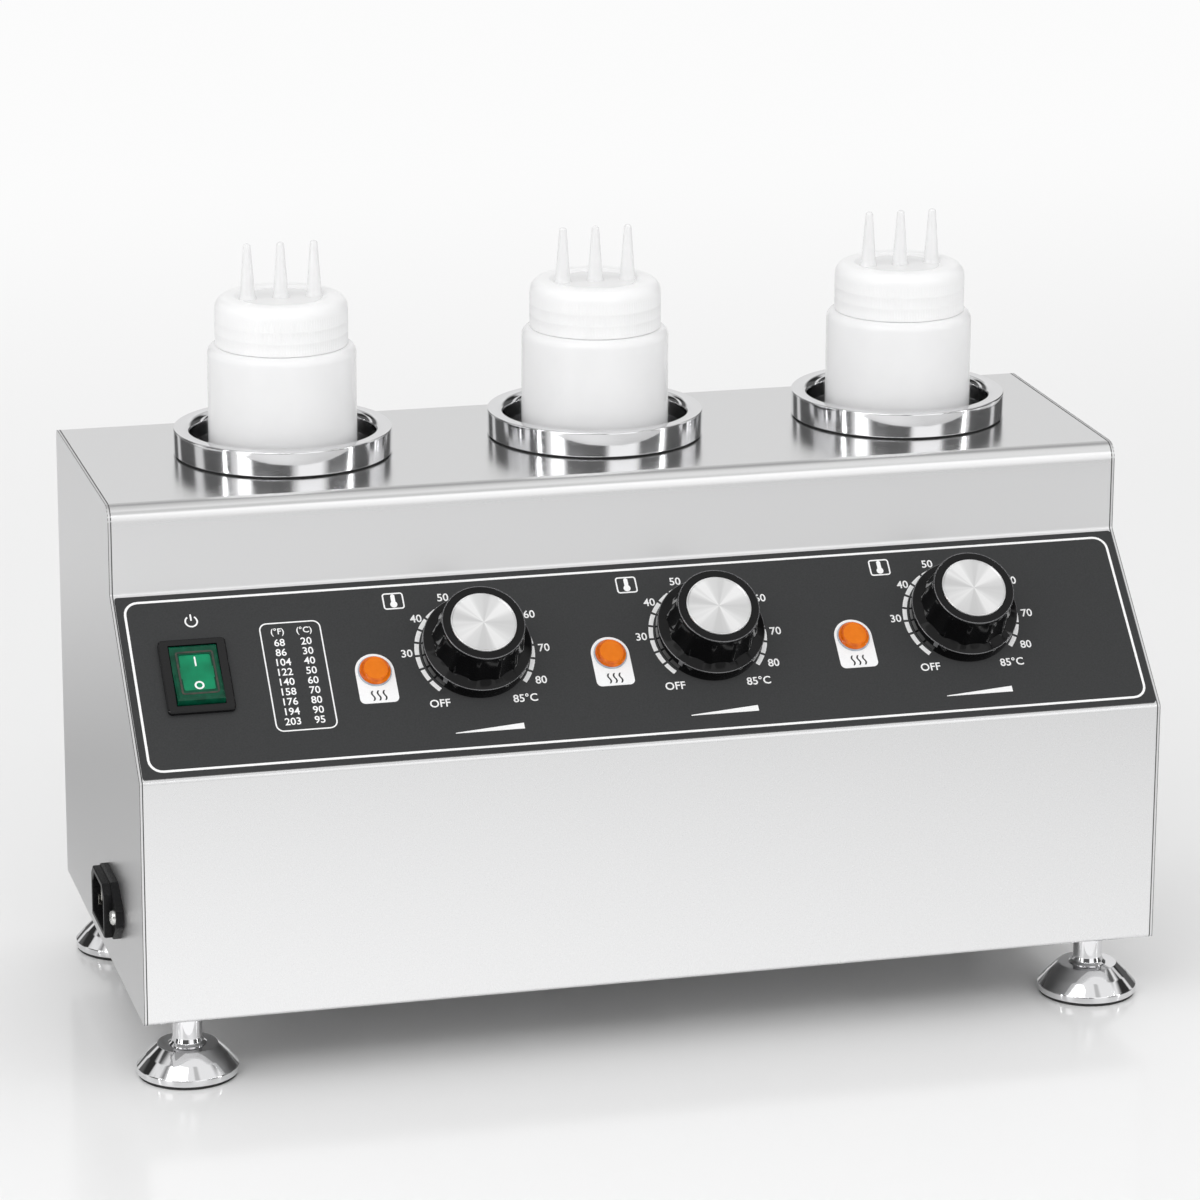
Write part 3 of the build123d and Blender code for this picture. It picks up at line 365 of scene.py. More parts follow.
def vary_color(made, factor, low, high):
    spread = add_node(made.node_tree, "ValToRGB", {0: factor})
    for element, position, color in zip(spread.color_ramp.elements, (0.3, 0.7), (low, high)):
        element.position = position
        element.color = (*color, 1)
    feed(made, "Base Color", spread.outputs[0])


def vary_roughness(made, factor, low, high):
    levels = {"Value": factor, "From Min": 0.3, "From Max": 0.7, "To Min": low, "To Max": high}
    feed(made, "Roughness", add_node(made.node_tree, "MapRange", levels).outputs[0])


def bump(made, height, strength, distance):
    relief = {"Strength": strength, "Distance": distance, "Height": height}
    feed(made, "Normal", add_node(made.node_tree, "Bump", relief).outputs[0])


def grained(
    name, color, roughness, grain, tones=None, gloss=None, relief=None,
    stretch=(1, 1, 1), detail=3.0, metallic=0.0, **more
):
    """Material whose noise runs between two tones and two roughnesses, and raises the surface."""
    made = material(name, color, roughness, metallic, **more)
    factor = noise(made, grain, stretch, detail)
    if tones:
        vary_color(made, factor, *tones)
    if gloss:
        vary_roughness(made, factor, *gloss)
    if relief:
        bump(made, factor, *relief)
    return made


def brushed(name, shade, roughness, stretch):
    """Steel with fine brush marks across the axes that stretch is large for."""
    low, high = shade * 0.988, shade * 1.012
    tones = ((low, low, low * 1.005), (high, high, high * 1.004))
    gloss = (roughness - 0.02, roughness + 0.03)
    color = (shade, shade, shade)
    return grained(
        name, color, roughness, 1.0, tones, gloss, (0.012, 0.0001), stretch, 4.0, metallic=1.0
    )


def smoother_by_height(made, stops):
    """Takes from the roughness by stops of (height in metres, change)."""
    tree = made.node_tree
    change = ramp(tree, coordinate(tree, "Object", "Z"), stops)
    before = tree.nodes["Principled BSDF"].inputs["Roughness"].links[0].from_socket
    feed(made, "Roughness", calculated(tree, "SUBTRACT", before, change))


def turned_sheen(made, turn):
    """Painted sheen of bright and dim sectors in the colour of a turned face, about the local Z
    axis, with fine rings.
    """
    tree = made.node_tree
    spot = tree.nodes.new("ShaderNodeTexCoord").outputs["Object"]
    split = add_node(tree, "SeparateXYZ", {0: spot}).outputs
    angle = calculated(tree, "ARCTAN2", split["Y"], split["X"])
    waves = {0: calculated(tree, "COSINE", angle), 1: calculated(tree, "SINE", angle)}
    around = add_node(tree, "CombineXYZ", waves).outputs[0]
    streaks = add_node(tree, "TexNoise", {"Vector": around, "Scale": 2.5, "Detail": 1.0})
    sectors = calculated(tree, "COSINE", calculated(tree, "MULTIPLY_ADD", angle, 4.0, turn))
    level = calculated(tree, "MULTIPLY_ADD", sectors, 0.2, streaks.outputs["Fac"])
    feed(made, "Base Color", ramp(tree, level, [(0.25, 0.74), (0.5, 0.84), (0.72, 1.0)]))
    radius = add_node(tree, "VectorMath", {0: spot}, operation="LENGTH").outputs["Value"]
    rings = add_node(tree, "TexNoise", {"W": radius, "Scale": 5000.0}, noise_dimensions="1D")
    bump(made, rings.outputs["Fac"], 0.08, 0.00005)


# Metals
body_steel = brushed("brushed_body_steel", 0.82, 0.34, (3800, 3800, 2200))
smoother_by_height(body_steel, [(0.12, 0.06), (0.17, 0.0), (0.198, 0.02), (0.203, 0.14)])
# The side panels' steel is a darker copy of the body steel: painted shade on the sides.
side_steel_shaded = brushed("brushed_side_steel_painted_shade", 0.76, 0.3, (3800, 3800, 2200))
well_steel = brushed("drawn_well_steel", 0.6, 0.24, (700, 700, 60))
# The base plate's steel is darkened: painted shade under the body.
base_steel_shaded = brushed("base_plate_steel_painted_shade", 0.45, 0.4, (80, 1800, 1800))
polished = grained(
    "polished_collar_steel", (0.86, 0.86, 0.87), 0.07, 1.0, gloss=(0.04, 0.12),
    relief=(0.03, 0.00005), stretch=(300, 300, 2200), detail=2.0, metallic=1.0,
)
chrome = grained(
    "foot_chrome", (0.84, 0.84, 0.85), 0.06, 70, gloss=(0.04, 0.08), relief=(0.2, 0.0003),
    detail=1.0, metallic=1.0,
)
zinc = grained("zinc_screws", (0.78, 0.78, 0.76), 0.25, 900, gloss=(0.18, 0.36), metallic=1.0)
spun = material("spun_aluminium", (0.8, 0.8, 0.81), 0.32, 1.0)
# The spun disc faces carry a painted sheen of bright and dim sectors in their colour.
turned_sheen(spun, turn=-2.16)
brass = grained("nickel_pins", (0.8, 0.78, 0.7), 0.22, 500, gloss=(0.16, 0.3), metallic=1.0)
copper = grained("copper_tube", (0.72, 0.36, 0.2), 0.3, 300, gloss=(0.22, 0.42), metallic=1.0)
# Grey metallic rings on the knobs' edges: painted highlights.
painted_edge_highlight = grained(
    "knob_edge_painted_highlight", (0.2, 0.2, 0.205), 0.25, 700, gloss=(0.2, 0.32), metallic=1.0
)
seam_dark = grained(
    "seam_shadow", (0.08, 0.08, 0.082), 0.5, 900, gloss=(0.4, 0.6), metallic=0.6
)

# Print
overlay_black = grained(
    "overlay_film", (0.03, 0.031, 0.032), 0.42, 1800,
    ((0.026, 0.027, 0.028), (0.036, 0.037, 0.038)), (0.36, 0.48), (0.08, 0.0001),
    Specular_IOR_Level=0.35,
)
ink_white = grained(
    "white_print", (0.95, 0.95, 0.95), 0.5, 2500, ((0.93, 0.93, 0.93), (0.98, 0.98, 0.98))
)
ink_black = grained("black_print", (0.02, 0.02, 0.022), 0.5, 2500, gloss=(0.4, 0.6))
label_white = grained(
    "label_white", (0.93, 0.935, 0.94), 0.35, 1500, ((0.91, 0.915, 0.92), (0.95, 0.955, 0.96))
)

# Black and grey plastics, and rubber
knob_black = grained(
    "knob_gloss_black", (0.0025, 0.0025, 0.0028), 0.08, 700, gloss=(0.05, 0.1),
    relief=(0.02, 0.0001), Specular_IOR_Level=0.24,
)
black_plastic = grained(
    "satin_black_plastic", (0.009, 0.009, 0.0095), 0.3, 1600,
    ((0.007, 0.007, 0.0075), (0.012, 0.012, 0.0125)), (0.24, 0.38), (0.06, 0.0001),
    Specular_IOR_Level=0.16,
)
bezel_black = grained(
    "bezel_gloss_black", (0.005, 0.005, 0.0055), 0.16, 900, gloss=(0.12, 0.22),
    Specular_IOR_Level=0.35,
)
rubber = grained(
    "black_rubber", (0.02, 0.02, 0.02), 0.7, 900, ((0.014, 0.014, 0.014), (0.03, 0.03, 0.03)),
    relief=(0.15, 0.0002),
)
mark_grey = grained("knob_mark_grey", (0.16, 0.16, 0.165), 0.4, 900, gloss=(0.3, 0.5))
# Grey-blue ring round each lens: a thin bezel, its colour a painted shadow of the lens on the
# label.
lens_bezel_shadow_grey = grained(
    "lens_bezel_and_shadow", (0.42, 0.47, 0.53), 0.2, 300, ((0.34, 0.39, 0.45), (0.5, 0.55, 0.6)),
    Specular_IOR_Level=0.5,
)

# Coloured plastics
rocker_green = grained(
    "rocker_green", (0.0, 0.07, 0.035), 0.2, 260, ((0.0, 0.045, 0.022), (0.001, 0.085, 0.042)),
    detail=2.0, Specular_IOR_Level=0.25,
)
pane_green = grained(
    "rocker_window_green", (0.0, 0.22, 0.1), 0.3, 120, ((0.0, 0.17, 0.075), (0.002, 0.27, 0.12)),
    detail=2.0, Specular_IOR_Level=0.25,
)
edge_brown = grained(
    "rocker_window_edge", (0.035, 0.04, 0.03), 0.2, 400, ((0.02, 0.035, 0.025), (0.06, 0.055, 0.04))
)
amber = grained(
    "amber_lens", (0.8, 0.19, 0.004), 0.12, 350, ((0.78, 0.18, 0.004), (0.83, 0.205, 0.006)),
    detail=2.0, Specular_IOR_Level=0.2,
)
# Darker, more saturated copy of the lens amber for the rim: painted shade on its bevel.
amber_rim_shaded = grained(
    "amber_lens_rim_painted_shade", (0.76, 0.15, 0.001), 0.06, 260, ((0.6, 0.09, 0.001), (0.9, 0.2, 0.002)),
    detail=2.0, Specular_IOR_Level=0.35,
)

# White plastics
bottle_white = grained(
    "bottle_polythene", (0.95, 0.95, 0.955), 0.22, 60, ((0.94, 0.94, 0.945), (0.965, 0.965, 0.97)),
    detail=2.0, Subsurface_Weight=0.25, Subsurface_Scale=0.003, Subsurface_Radius=(1, 1, 1),
)
vary_roughness(bottle_white, noise(bottle_white, 600), 0.18, 0.25)
cap_white = grained(
    "cap_polythene", (0.97, 0.97, 0.973), 0.28, 80, ((0.96, 0.96, 0.963), (0.98, 0.98, 0.983)),
    detail=2.0, Subsurface_Weight=0.25, Subsurface_Scale=0.002, Subsurface_Radius=(1, 1, 1),
)
# Nozzles and their plate: a greyer copy of the cap's polythene, painted shade.
nozzle_shaded_white = grained(
    "nozzle_polythene_painted_shade", (0.86, 0.86, 0.862), 0.16, 90, ((0.85, 0.85, 0.852), (0.88, 0.88, 0.882)),
    detail=2.0,
)
liner = grained("cap_liner_foam", (0.86, 0.86, 0.84), 0.8, 1500, relief=(0.3, 0.0002))

# Insides
mica = grained("mica_band", (0.34, 0.32, 0.27), 0.6, 120, ((0.28, 0.26, 0.22), (0.4, 0.38, 0.33)))
case = grained(
    "thermostat_case", (0.42, 0.36, 0.25), 0.5, 200, ((0.38, 0.32, 0.22), (0.46, 0.4, 0.29))
)
block_white = grained(
    "terminal_block_white", (0.8, 0.79, 0.74), 0.4, 200, ((0.76, 0.75, 0.7), (0.83, 0.82, 0.77))
)
sleeve = grained(
    "wire_sleeve", (0.24, 0.06, 0.03), 0.45, 300, ((0.2, 0.05, 0.025), (0.28, 0.07, 0.035))
)

finish_of = {
    "body_wrap": body_steel,
    "side_panel_left": side_steel_shaded,
    "side_panel_right": side_steel_shaded,
    "base_plate": base_steel_shaded,
    "control_overlay": overlay_black,
    "collar_seals": rubber,
    "panel_screws": zinc,
    "lamp_bodies": black_plastic,
    "capillaries": copper,
    "switch_housing": bezel_black,
    "switch_rocker": rocker_green,
    "inlet_housing": black_plastic,
    "inlet_pins": brass,
    "terminal_block": block_white,
    "wiring": sleeve,
}
finish_of_family = {
    "collar_": polished,
    "well_": well_steel,
    "band_heater_": mica,
    "bottle_": bottle_white,
    "cap_ring_": liner,
    "nozzle_cap_": cap_white,
    "thermostat_shaft_": zinc,
    "thermostat_": case,
    "knob_disc_": spun,
    "knob_": knob_black,
    "lamp_lens_": amber,
    "foot_pad_": rubber,
    "foot_cone_": chrome,
    "foot_stud_": chrome,
}


def dress_cad_nodes():
    for name, node in nodes.items():
        finish = finish_of.get(name)
        if finish is None:
            families = [key for key in finish_of_family if name.startswith(key)]
            finish = finish_of_family[max(families, key=len)]
        node.data.materials.clear()
        node.data.materials.append(finish)


dress_cad_nodes()


# Stage, in metres

def ground_sheet(name, low, high, z, finish):
    mesh = bpy.data.meshes.new(name)
    corners = [(x, y, z) for x, y in (low, (high[0], low[1]), high, (low[0], high[1]))]
    mesh.from_pydata(corners, [], [[0, 1, 2, 3]])
    mesh.materials.append(finish)
    return add_object(name, mesh)


def build_floor():
    """Pale floor that fades into the backdrop behind the part."""
    ground = material("studio_floor", (0.93, 0.93, 0.93), 0.12, Specular_IOR_Level=0.3)
    tree = ground.node_tree
    reach = {"Value": coordinate(tree, "Object", "Y"), "From Min": 0.35, "From Max": 1.6}
    far = add_node(tree, "MapRange", reach, interpolation_type="SMOOTHSTEP").outputs[0]
    seen = tree.nodes.new("ShaderNodeLightPath").outputs["Is Camera Ray"]
    share = calculated(tree, "MULTIPLY", seen, far)
    surface = tree.nodes["Principled BSDF"].outputs[0]
    glow = add_node(tree, "Emission", {"Color": grey(0.97)}).outputs[0]
    blend = add_node(tree, "MixShader", {0: share, 1: surface, 2: glow})
    tree.links.new(blend.outputs[0], tree.nodes["Material Output"].inputs["Surface"])
    floor = ground_sheet("floor", (-5.0, -5.0), (5.0, 5.0), 0, ground)


def floor_card(name, low, high, levels, toward, right_share):
    """Card on the floor that only reflections see from above.

    Its levels are stops of (distance from the middle of the part, level), toward is the way that
    they run along Y, and right_share is what is left of them at its right end.
    """
    finish = bpy.data.materials.new(name)
    finish.use_nodes = True
    tree = finish.node_tree
    distance = calculated(tree, "MULTIPLY", coordinate(tree, "Object", "Y"), toward)
    across = {
        "Value": coordinate(tree, "Object", "X"),
        "From Min": -0.25,
        "From Max": 0.35,
        "To Min": 1.0,
        "To Max": right_share,
    }
    fade = add_node(tree, "MapRange", across).outputs[0]
    shade = calculated(tree, "MULTIPLY", ramp(tree, distance, levels), fade)
    glow = add_node(tree, "Emission", {"Color": shade}).outputs[0]
    below = tree.nodes.new("ShaderNodeNewGeometry").outputs["Backfacing"]
    clear = tree.nodes.new("ShaderNodeBsdfTransparent").outputs[0]
    one_sided = add_node(tree, "MixShader", {0: below, 1: glow, 2: clear})
    tree.links.new(one_sided.outputs[0], tree.nodes["Material Output"].inputs["Surface"])
    card = ground_sheet(name, low, high, 0.002, finish)
    card.visible_camera = False
    card.visible_diffuse = False
    card.visible_shadow = False


side_levels = ((0.0, 0.62), (0.15, 0.56), (0.3, 0.5), (0.6, 0.8))
front_levels = ((0.12, 1.15), (0.35, 1.06), (0.6, 0.8), (0.8, 0.75), (1.0, 0.86))
build_floor()
floor_card("side_card", (-0.75, -0.06), (-0.203, 0.9), side_levels, 1, 1.0)
floor_card("front_card", (-1.0, -4.0), (1.6, -0.12), front_levels, -1, 0.84)


# Geometry helpers, in millimetres

def panel_at(x, rise, height=0.0):
    across = Vector((1, 0, 0))
    upslope = Vector((0, slope_run, slope_rise)) / slope_length
    outward = across.cross(upslope)
    knee = Vector((left_x, front_y, base_z + front_height))
    turn = Matrix((across, upslope, outward)).transposed().to_4x4()
    return Matrix.Translation(knee + across * x + upslope * rise + outward * height) @ turn


def upright_at(x, y, z=0.0):
    return Matrix.Translation((x, y, z))


def inlet_at(x=0.0, y=0.0, height=0.0):
    turn = Matrix(((0, -1, 0), (0, 0, 1), (-1, 0, 0))).transposed().to_4x4()
    return upright_at(left_x, inlet_y, inlet_z) @ turn @ Matrix.Translation((x, y, height))


def mended(shell, name):
    """Mesh of a closed shell, with its faces turned outward."""
    points, faces = shell
    mesh = bpy.data.meshes.new(name)
    mesh.from_pydata([tuple(p) for p in points], [], faces)
    solid = bmesh.new()
    solid.from_mesh(mesh)
    bmesh.ops.recalc_face_normals(solid, faces=solid.faces)
    solid.to_mesh(mesh)
    solid.free()
    return mesh


def piece(name, shell, finish, body, place=None, sharp=32, replaced=()):
    """Visible piece that moves with a body; sharp is the angle from which its edges show."""
    points, faces = shell
    mesh = mended(([Vector(p) * MM for p in points], faces), name)
    mesh.polygons.foreach_set("use_smooth", [True] * len(mesh.polygons))
    mesh.set_sharp_from_angle(angle=math.radians(sharp))
    mesh.materials.append(finish)
    made = add_object(name, mesh)
    if place is not None:
        made.matrix_world = upright_at(*place.to_translation() * MM) @ place.to_3x3().to_4x4()
    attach(made, body)
    if replaced:
        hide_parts(*replaced)
    return made


def rounded(points, radii, steps=6, closed=True):
    """Outline with a bend of the given radius at each corner."""
    line = []
    count = len(points)
    for index, (corner, radius) in enumerate(zip(points, radii)):
        corner = Vector(corner)
        if radius == 0 or (not closed and index in (0, count - 1)):
            line.append(corner)
            continue
        before = (Vector(points[index - 1]) - corner).normalized()
        after = (Vector(points[(index + 1) % count]) - corner).normalized()
        half = before.angle(after) / 2
        centre = corner + (before + after).normalized() * (radius / math.sin(half))
        start = corner + before * (radius / math.tan(half)) - centre
        end = corner + after * (radius / math.tan(half)) - centre
        sweep = start.angle(end)
        for step in range(steps + 1):
            share = step / steps
            arm = start * math.sin((1 - share) * sweep) + end * math.sin(share * sweep)
            line.append(centre + arm / math.sin(sweep))
    return line


def lathe(outline, segments=96, shape=None, offset=0.0):
    """Closed solid turned about Z; shape may change its radius by height and angle."""
    points, faces, rows = [], [], []
    for radius, height in outline:
        if radius < 1e-6:
            rows.append([len(points)] * segments)
            points.append((offset, 0, height))
            continue
        rows.append(list(range(len(points), len(points) + segments)))
        for step in range(segments):
            angle = 2 * math.pi * step / segments
            r = shape(radius, height, angle) if shape else radius
            points.append((offset + r * math.cos(angle), r * math.sin(angle), height))
    for low, high in zip(rows, rows[1:] + rows[:1]):
        for step in range(segments):
            after = (step + 1) % segments
            face = list(dict.fromkeys((low[step], low[after], high[after], high[step])))
            if len(face) > 2:
                faces.append(face)
    return points, faces


def walls(count, loops, closed):
    """Faces between neighbouring loops of count points; closed joins the last to the first."""
    faces = []
    for loop in range(loops if closed else loops - 1):
        low, high = loop * count, (loop + 1) % loops * count
        for index in range(count):
            after = (index + 1) % count
            faces.append([low + index, low + after, high + after, high + index])
    return faces


def loft(*loops, tube=False):
    """Closed solid through loops of (outline, height), with end faces or back to the first."""
    count = len(loops[0][0])
    points = [(*p, height) for outline, height in loops for p in outline]
    ends = [] if tube else [list(range(count)), list(range(len(points) - count, len(points)))]
    return points, ends + walls(count, len(loops), tube)


def slab(outline, low, high):
    return loft((outline, low), (outline, high))


def frame_slab(outer, inner, low, high):
    return loft((outer, low), (outer, high), (inner, high), (inner, low), tube=True)


def joined(*shells):
    points, faces = [], []
    for more_points, more_faces in shells:
        start = len(points)
        points += [tuple(p) for p in more_points]
        faces += [[start + index for index in face] for face in more_faces]
    return points, faces


def moved(shell, place):
    points, faces = shell
    return [place @ Vector(p) for p in points], faces


def evaluated_mesh(holder):
    bpy.context.view_layer.update()
    return bpy.data.meshes.new_from_object(
        holder.evaluated_get(bpy.context.evaluated_depsgraph_get())
    )


def cut(shell, cutter):
    """What is left of one closed shell when another is taken from it."""
    whole, tool = (add_object("cut", mended(part, "cut")) for part in (shell, cutter))
    difference = whole.modifiers.new("cut", "BOOLEAN")
    difference.operation = "DIFFERENCE"
    difference.solver = "EXACT"
    difference.object = tool
    result = evaluated_mesh(whole)
    points = [tuple(v.co) for v in result.vertices]
    faces = [list(f.vertices) for f in result.polygons]
    for mesh in (whole.data, tool.data, result):
        bpy.data.meshes.remove(mesh)
    return points, faces


def arc(x, y, radius, start, end, steps):
    """Points on an arc between two angles in degrees."""
    angles = [math.radians(start + (end - start) * step / steps) for step in range(steps + 1)]
    return [(x + radius * math.cos(a), y + radius * math.sin(a)) for a in angles]


def circle(x, y, radius, count):
    return arc(x, y, radius, 0, 360, count)[:-1]


def arc_slab(x, y, inner, outer, start, end, low, high, steps=5):
    outline = arc(x, y, outer, start, end, steps) + arc(x, y, inner, end, start, steps)
    return slab(outline, low, high)


def box_outline(x, y, width, height, radius, steps=6):
    w, h = width / 2, height / 2
    corners = [(x - w, y - h), (x + w, y - h), (x + w, y + h), (x - w, y + h)]
    return rounded(corners, [radius] * 4, steps)


def box_frame(x, y, width, height, radius, line, low, high):
    outer = box_outline(x, y, width, height, radius)
    inner = box_outline(x, y, width - 2 * line, height - 2 * line, max(radius - line, 0.05))
    return frame_slab(outer, inner, low, high)


def words(text, x, y, height, bold, low, high):
    """Raised digits and letters, centred on a place; height is that of the digits."""
    curve = bpy.data.curves.new("word", "FONT")
    curve.body = text
    curve.size = 1.0
    curve.align_x = "CENTER"
    curve.align_y = "CENTER"
    curve.resolution_u = 3
    curve.offset = bold
    holder = add_object("word", curve)
    flat = evaluated_mesh(holder)
    bpy.data.objects.remove(holder)
    bpy.data.curves.remove(curve)
    solid = bmesh.new()
    solid.from_mesh(flat)
    bpy.data.meshes.remove(flat)
    bmesh.ops.remove_doubles(solid, verts=solid.verts, dist=1e-5)
    raised = bmesh.ops.extrude_face_region(solid, geom=solid.faces[:])
    top = [g for g in raised["geom"] if isinstance(g, bmesh.types.BMVert)]
    bmesh.ops.translate(solid, verts=top, vec=(0, 0, 1))
    scale = height / 0.69  # the font's digits are 0.69 high
    points = []
    for vertex in solid.verts:
        level = high if vertex.co.z > 0.5 else low
        points.append((x + vertex.co.x * scale, y + vertex.co.y * scale, level))
    solid.verts.index_update()
    faces = [[v.index for v in f.verts] for f in solid.faces]
    solid.free()
    return points, faces


# Printed panel

def temperature_table(layer):
    """Frame, header and rows of matching Fahrenheit and Celsius values."""
    shells = [box_frame(*table_place, *table_frame, 3.0, 0.5, *layer)]
    for header, column in zip(("(°F)", "(°C)"), table_columns):
        shells.append(words(header, column - 0.1, 58.6, 2.4, 0.012, *layer))
    for index, celsius in enumerate((20, 30, 40, 50, 60, 70, 80, 90, 95)):
        row = (round(celsius * 1.8 + 32), celsius)
        rise = table_first_row - table_row_pitch * index
        for value, column in zip(row, table_columns):
            shells.append(words(str(value), column, rise, 2.9, 0.012, *layer))
    return shells


def dial_marks(x, layer):
    """Ticks and temperatures round one knob, and the rising wedge below it."""
    shells = []
    for step in range(tick_count):
        middle = dial_start - tick_pitch * (step + 0.5)
        ends = (middle - tick_half_length, middle + tick_half_length)
        shells.append(arc_slab(x, knob_rise, tick_inner_radius, tick_outer_radius, *ends, *layer))
    for text, degrees, reach in (
        ("OFF", -128.5, 26.8), ("30", 178.0, 25.6), ("40", 142.0, 25.0), ("50", 109.0, 25.0),
        ("60", 31.0, 27.0), ("70", -1.5, 26.2), ("80", -32.0, 26.8), ("85°C", -54.0, 26.4),
    ):
        angle = math.radians(degrees)
        place = (x + reach * math.cos(angle), knob_rise + reach * math.sin(angle))
        shells.append(words(text, *place, 3.1, 0.014, *layer))
    wedge = [(x - 13.0, 10.6), (x + 13.0, 10.6), (x + 13.0, 13.0), (x - 13.0, 10.9)]
    return shells + [slab(wedge, *layer)]


def thermometer(x, y, layer):
    low, high = layer
    frame_line = box_frame(x, y, 8.0, 7.0, 1.2, 0.55, low, high)
    stem = slab(box_outline(x, y + 0.7, 1.6, 4.4, 0.75, 4), low, high)
    bulb = slab(circle(x, y - 1.4, 1.35, 20), low, high + 0.01)
    return [frame_line, stem, bulb]


def power_mark(x, y, layer):
    ring = arc_slab(x, y, 1.9, 2.5, 125, 415, *layer, 24)
    bar = [(x - 0.3, y + 0.3), (x + 0.3, y + 0.3), (x + 0.3, y + 3.0), (x - 0.3, y + 3.0)]
    return [ring, slab(bar, *layer)]


def panel_print():
    layer = (overlay_top - print_sink, overlay_top + print_proud)
    shells = [box_frame(panel_middle, slope_length / 2, *panel_frame, 5.5, 0.9, *layer)]
    shells += temperature_table(layer)
    for x in knob_places:
        shells += dial_marks(x, layer)
    for x in thermometer_places:
        shells += thermometer(x, thermometer_rise, layer)
    shells += power_mark(*power_place, layer)
    piece("panel_print", joined(*shells), ink_white, "body", panel_at(0, 0))


def heat_wave(x, layer):
    """Upright wavy line."""
    spots = [step / 14 for step in range(15)]
    centre = [(x + 0.45 * math.sin(t * 2 * math.pi), wave_foot + 4.2 * t) for t in spots]
    left = [(a - 0.32, b) for a, b in centre]
    right = [(a + 0.32, b) for a, b in reversed(centre)]
    return slab(left + right, *layer)


def lamp_labels():
    """White labels round the lamps, each with three heat waves."""
    low, high = overlay_top - print_sink, overlay_top + label_proud
    labels, waves = [], []
    for x in lamp_places:
        left, right = x - label_half_width, x + label_half_width
        top = arc(x, 39.1, label_half_width, 0, 180, 28)
        foot = [(left, 30), (left, label_foot), (right, label_foot), (right, 30)]
        foot = rounded(foot, [0, 2.0, 2.0, 0], 6, False)
        labels.append(slab(top + foot, low, high))
        waves += [heat_wave(x + 2.2 * step, (high - 0.05, high + 0.05)) for step in (-1, 0, 1)]
    place = panel_at(0, 0)
    piece("lamp_labels", joined(*labels), label_white, "body", place)
    piece("heat_marks", joined(*waves), ink_black, "body", place)


panel_print()
lamp_labels()


# Seams and screws

def body_profile():
    knee_z = base_z + front_height
    slope_end = front_y + slope_run
    front = [(front_y, base_z), (front_y, knee_z), (slope_end, knee_z + slope_rise)]
    back = [(slope_end, deck_z), (back_y, deck_z), (back_y, base_z)]
    return rounded(front + back, body_bends)


def belt(x, width, proud, depth=0.2):
    """Thin closed band on the body's outline, across one place along its length."""
    line = body_profile()
    count = len(line)
    points = []
    for index, spot in enumerate(line):
        along = (line[(index + 1) % count] - line[index - 1]).normalized()
        outward = Vector((-along.y, along.x))
        high, low = spot + outward * proud, spot - outward * depth
        for side, place in ((-1, high), (1, high), (1, low), (-1, low)):
            points.append((x + side * width / 2, place.x, place.y))
    return points, walls(4, count, True)


def build_seams():
    """Gaps between the wrap and the side panels, and the panels' outer edges."""
    shells = []
    for inset, width, proud in ((1.15, 0.4, 0.04), (0.12, 0.2, 0.03)):
        shells += [belt(x, width, proud) for x in (left_x + inset, right_x - inset)]
    piece("seam_lines", joined(*shells), seam_dark, "body")


def cross_head():
    """Pan head screw with a cross recess."""
    radius, height = screw_head_radius, screw_head_height
    head = [(0, height), (radius, height), (radius, 0)]
    shank = [(screw_radius, 0), (screw_radius, -screw_length), (0, -screw_length)]
    turned = lathe(rounded(head + shank, [0, height * 0.7, 0, 0, 0.4, 0], 8), 48)
    wide, slim = radius * 0.58, radius * 0.14
    cross = [(wide, slim), (slim, slim), (slim, wide), (-slim, wide), (-slim, slim), (-wide, slim)]
    cross += [(-x, -y) for x, y in cross]
    return cut(turned, slab(cross, height * 0.35, height * 2))


def build_screws():
    under = [(middle_x + column, back_y - screw_edge) for column in screw_columns]
    for x in (left_x + screw_edge, right_x - screw_edge):
        under += [(x, y) for y in side_screw_rows]
    screw = cross_head()
    upside_down = Matrix.Rotation(math.pi, 4, "X")
    askew = Matrix.Rotation(0.5, 4, "Z")
    shells = [moved(screw, upright_at(x, y, base_z - sheet) @ upside_down) for x, y in under]
    for x in inlet_screws:
        shells.append(moved(screw, inlet_at(x, 0, inlet_flange_thickness) @ askew))
    piece(
        "screw_heads", joined(*shells), zinc, "body", replaced=["panel_screws"]
    )


build_seams()
build_screws()


# Collars, bottles and caps

def build_collars():
    """Polished rings, each with a thin skirt that reaches down over the edge of its seal."""
    inside = collar_radius - collar_skirt
    ring = [
        (collar_bore_radius, well_wall), (collar_bore_radius, collar_height),
        (collar_radius, collar_height), (collar_radius, -collar_skirt_drop),
        (inside, -collar_skirt_drop), (inside, 0.1),
        (well_rim_radius, 0.1), (well_rim_radius, well_wall),
    ]
    shell = lathe(rounded(ring, [0, 3.0, 0.6, 0.3, 0, 0, 0, 0], 8), 160)
    for number, (x, y) in enumerate(well_places, start=1):
        place = upright_at(x, y, deck_z + seal_thickness)
        replaced = [f"collar_{number}"]
        name = f"collar_ring_{number}"
        piece(name, shell, polished, "body", place, 30, replaced)


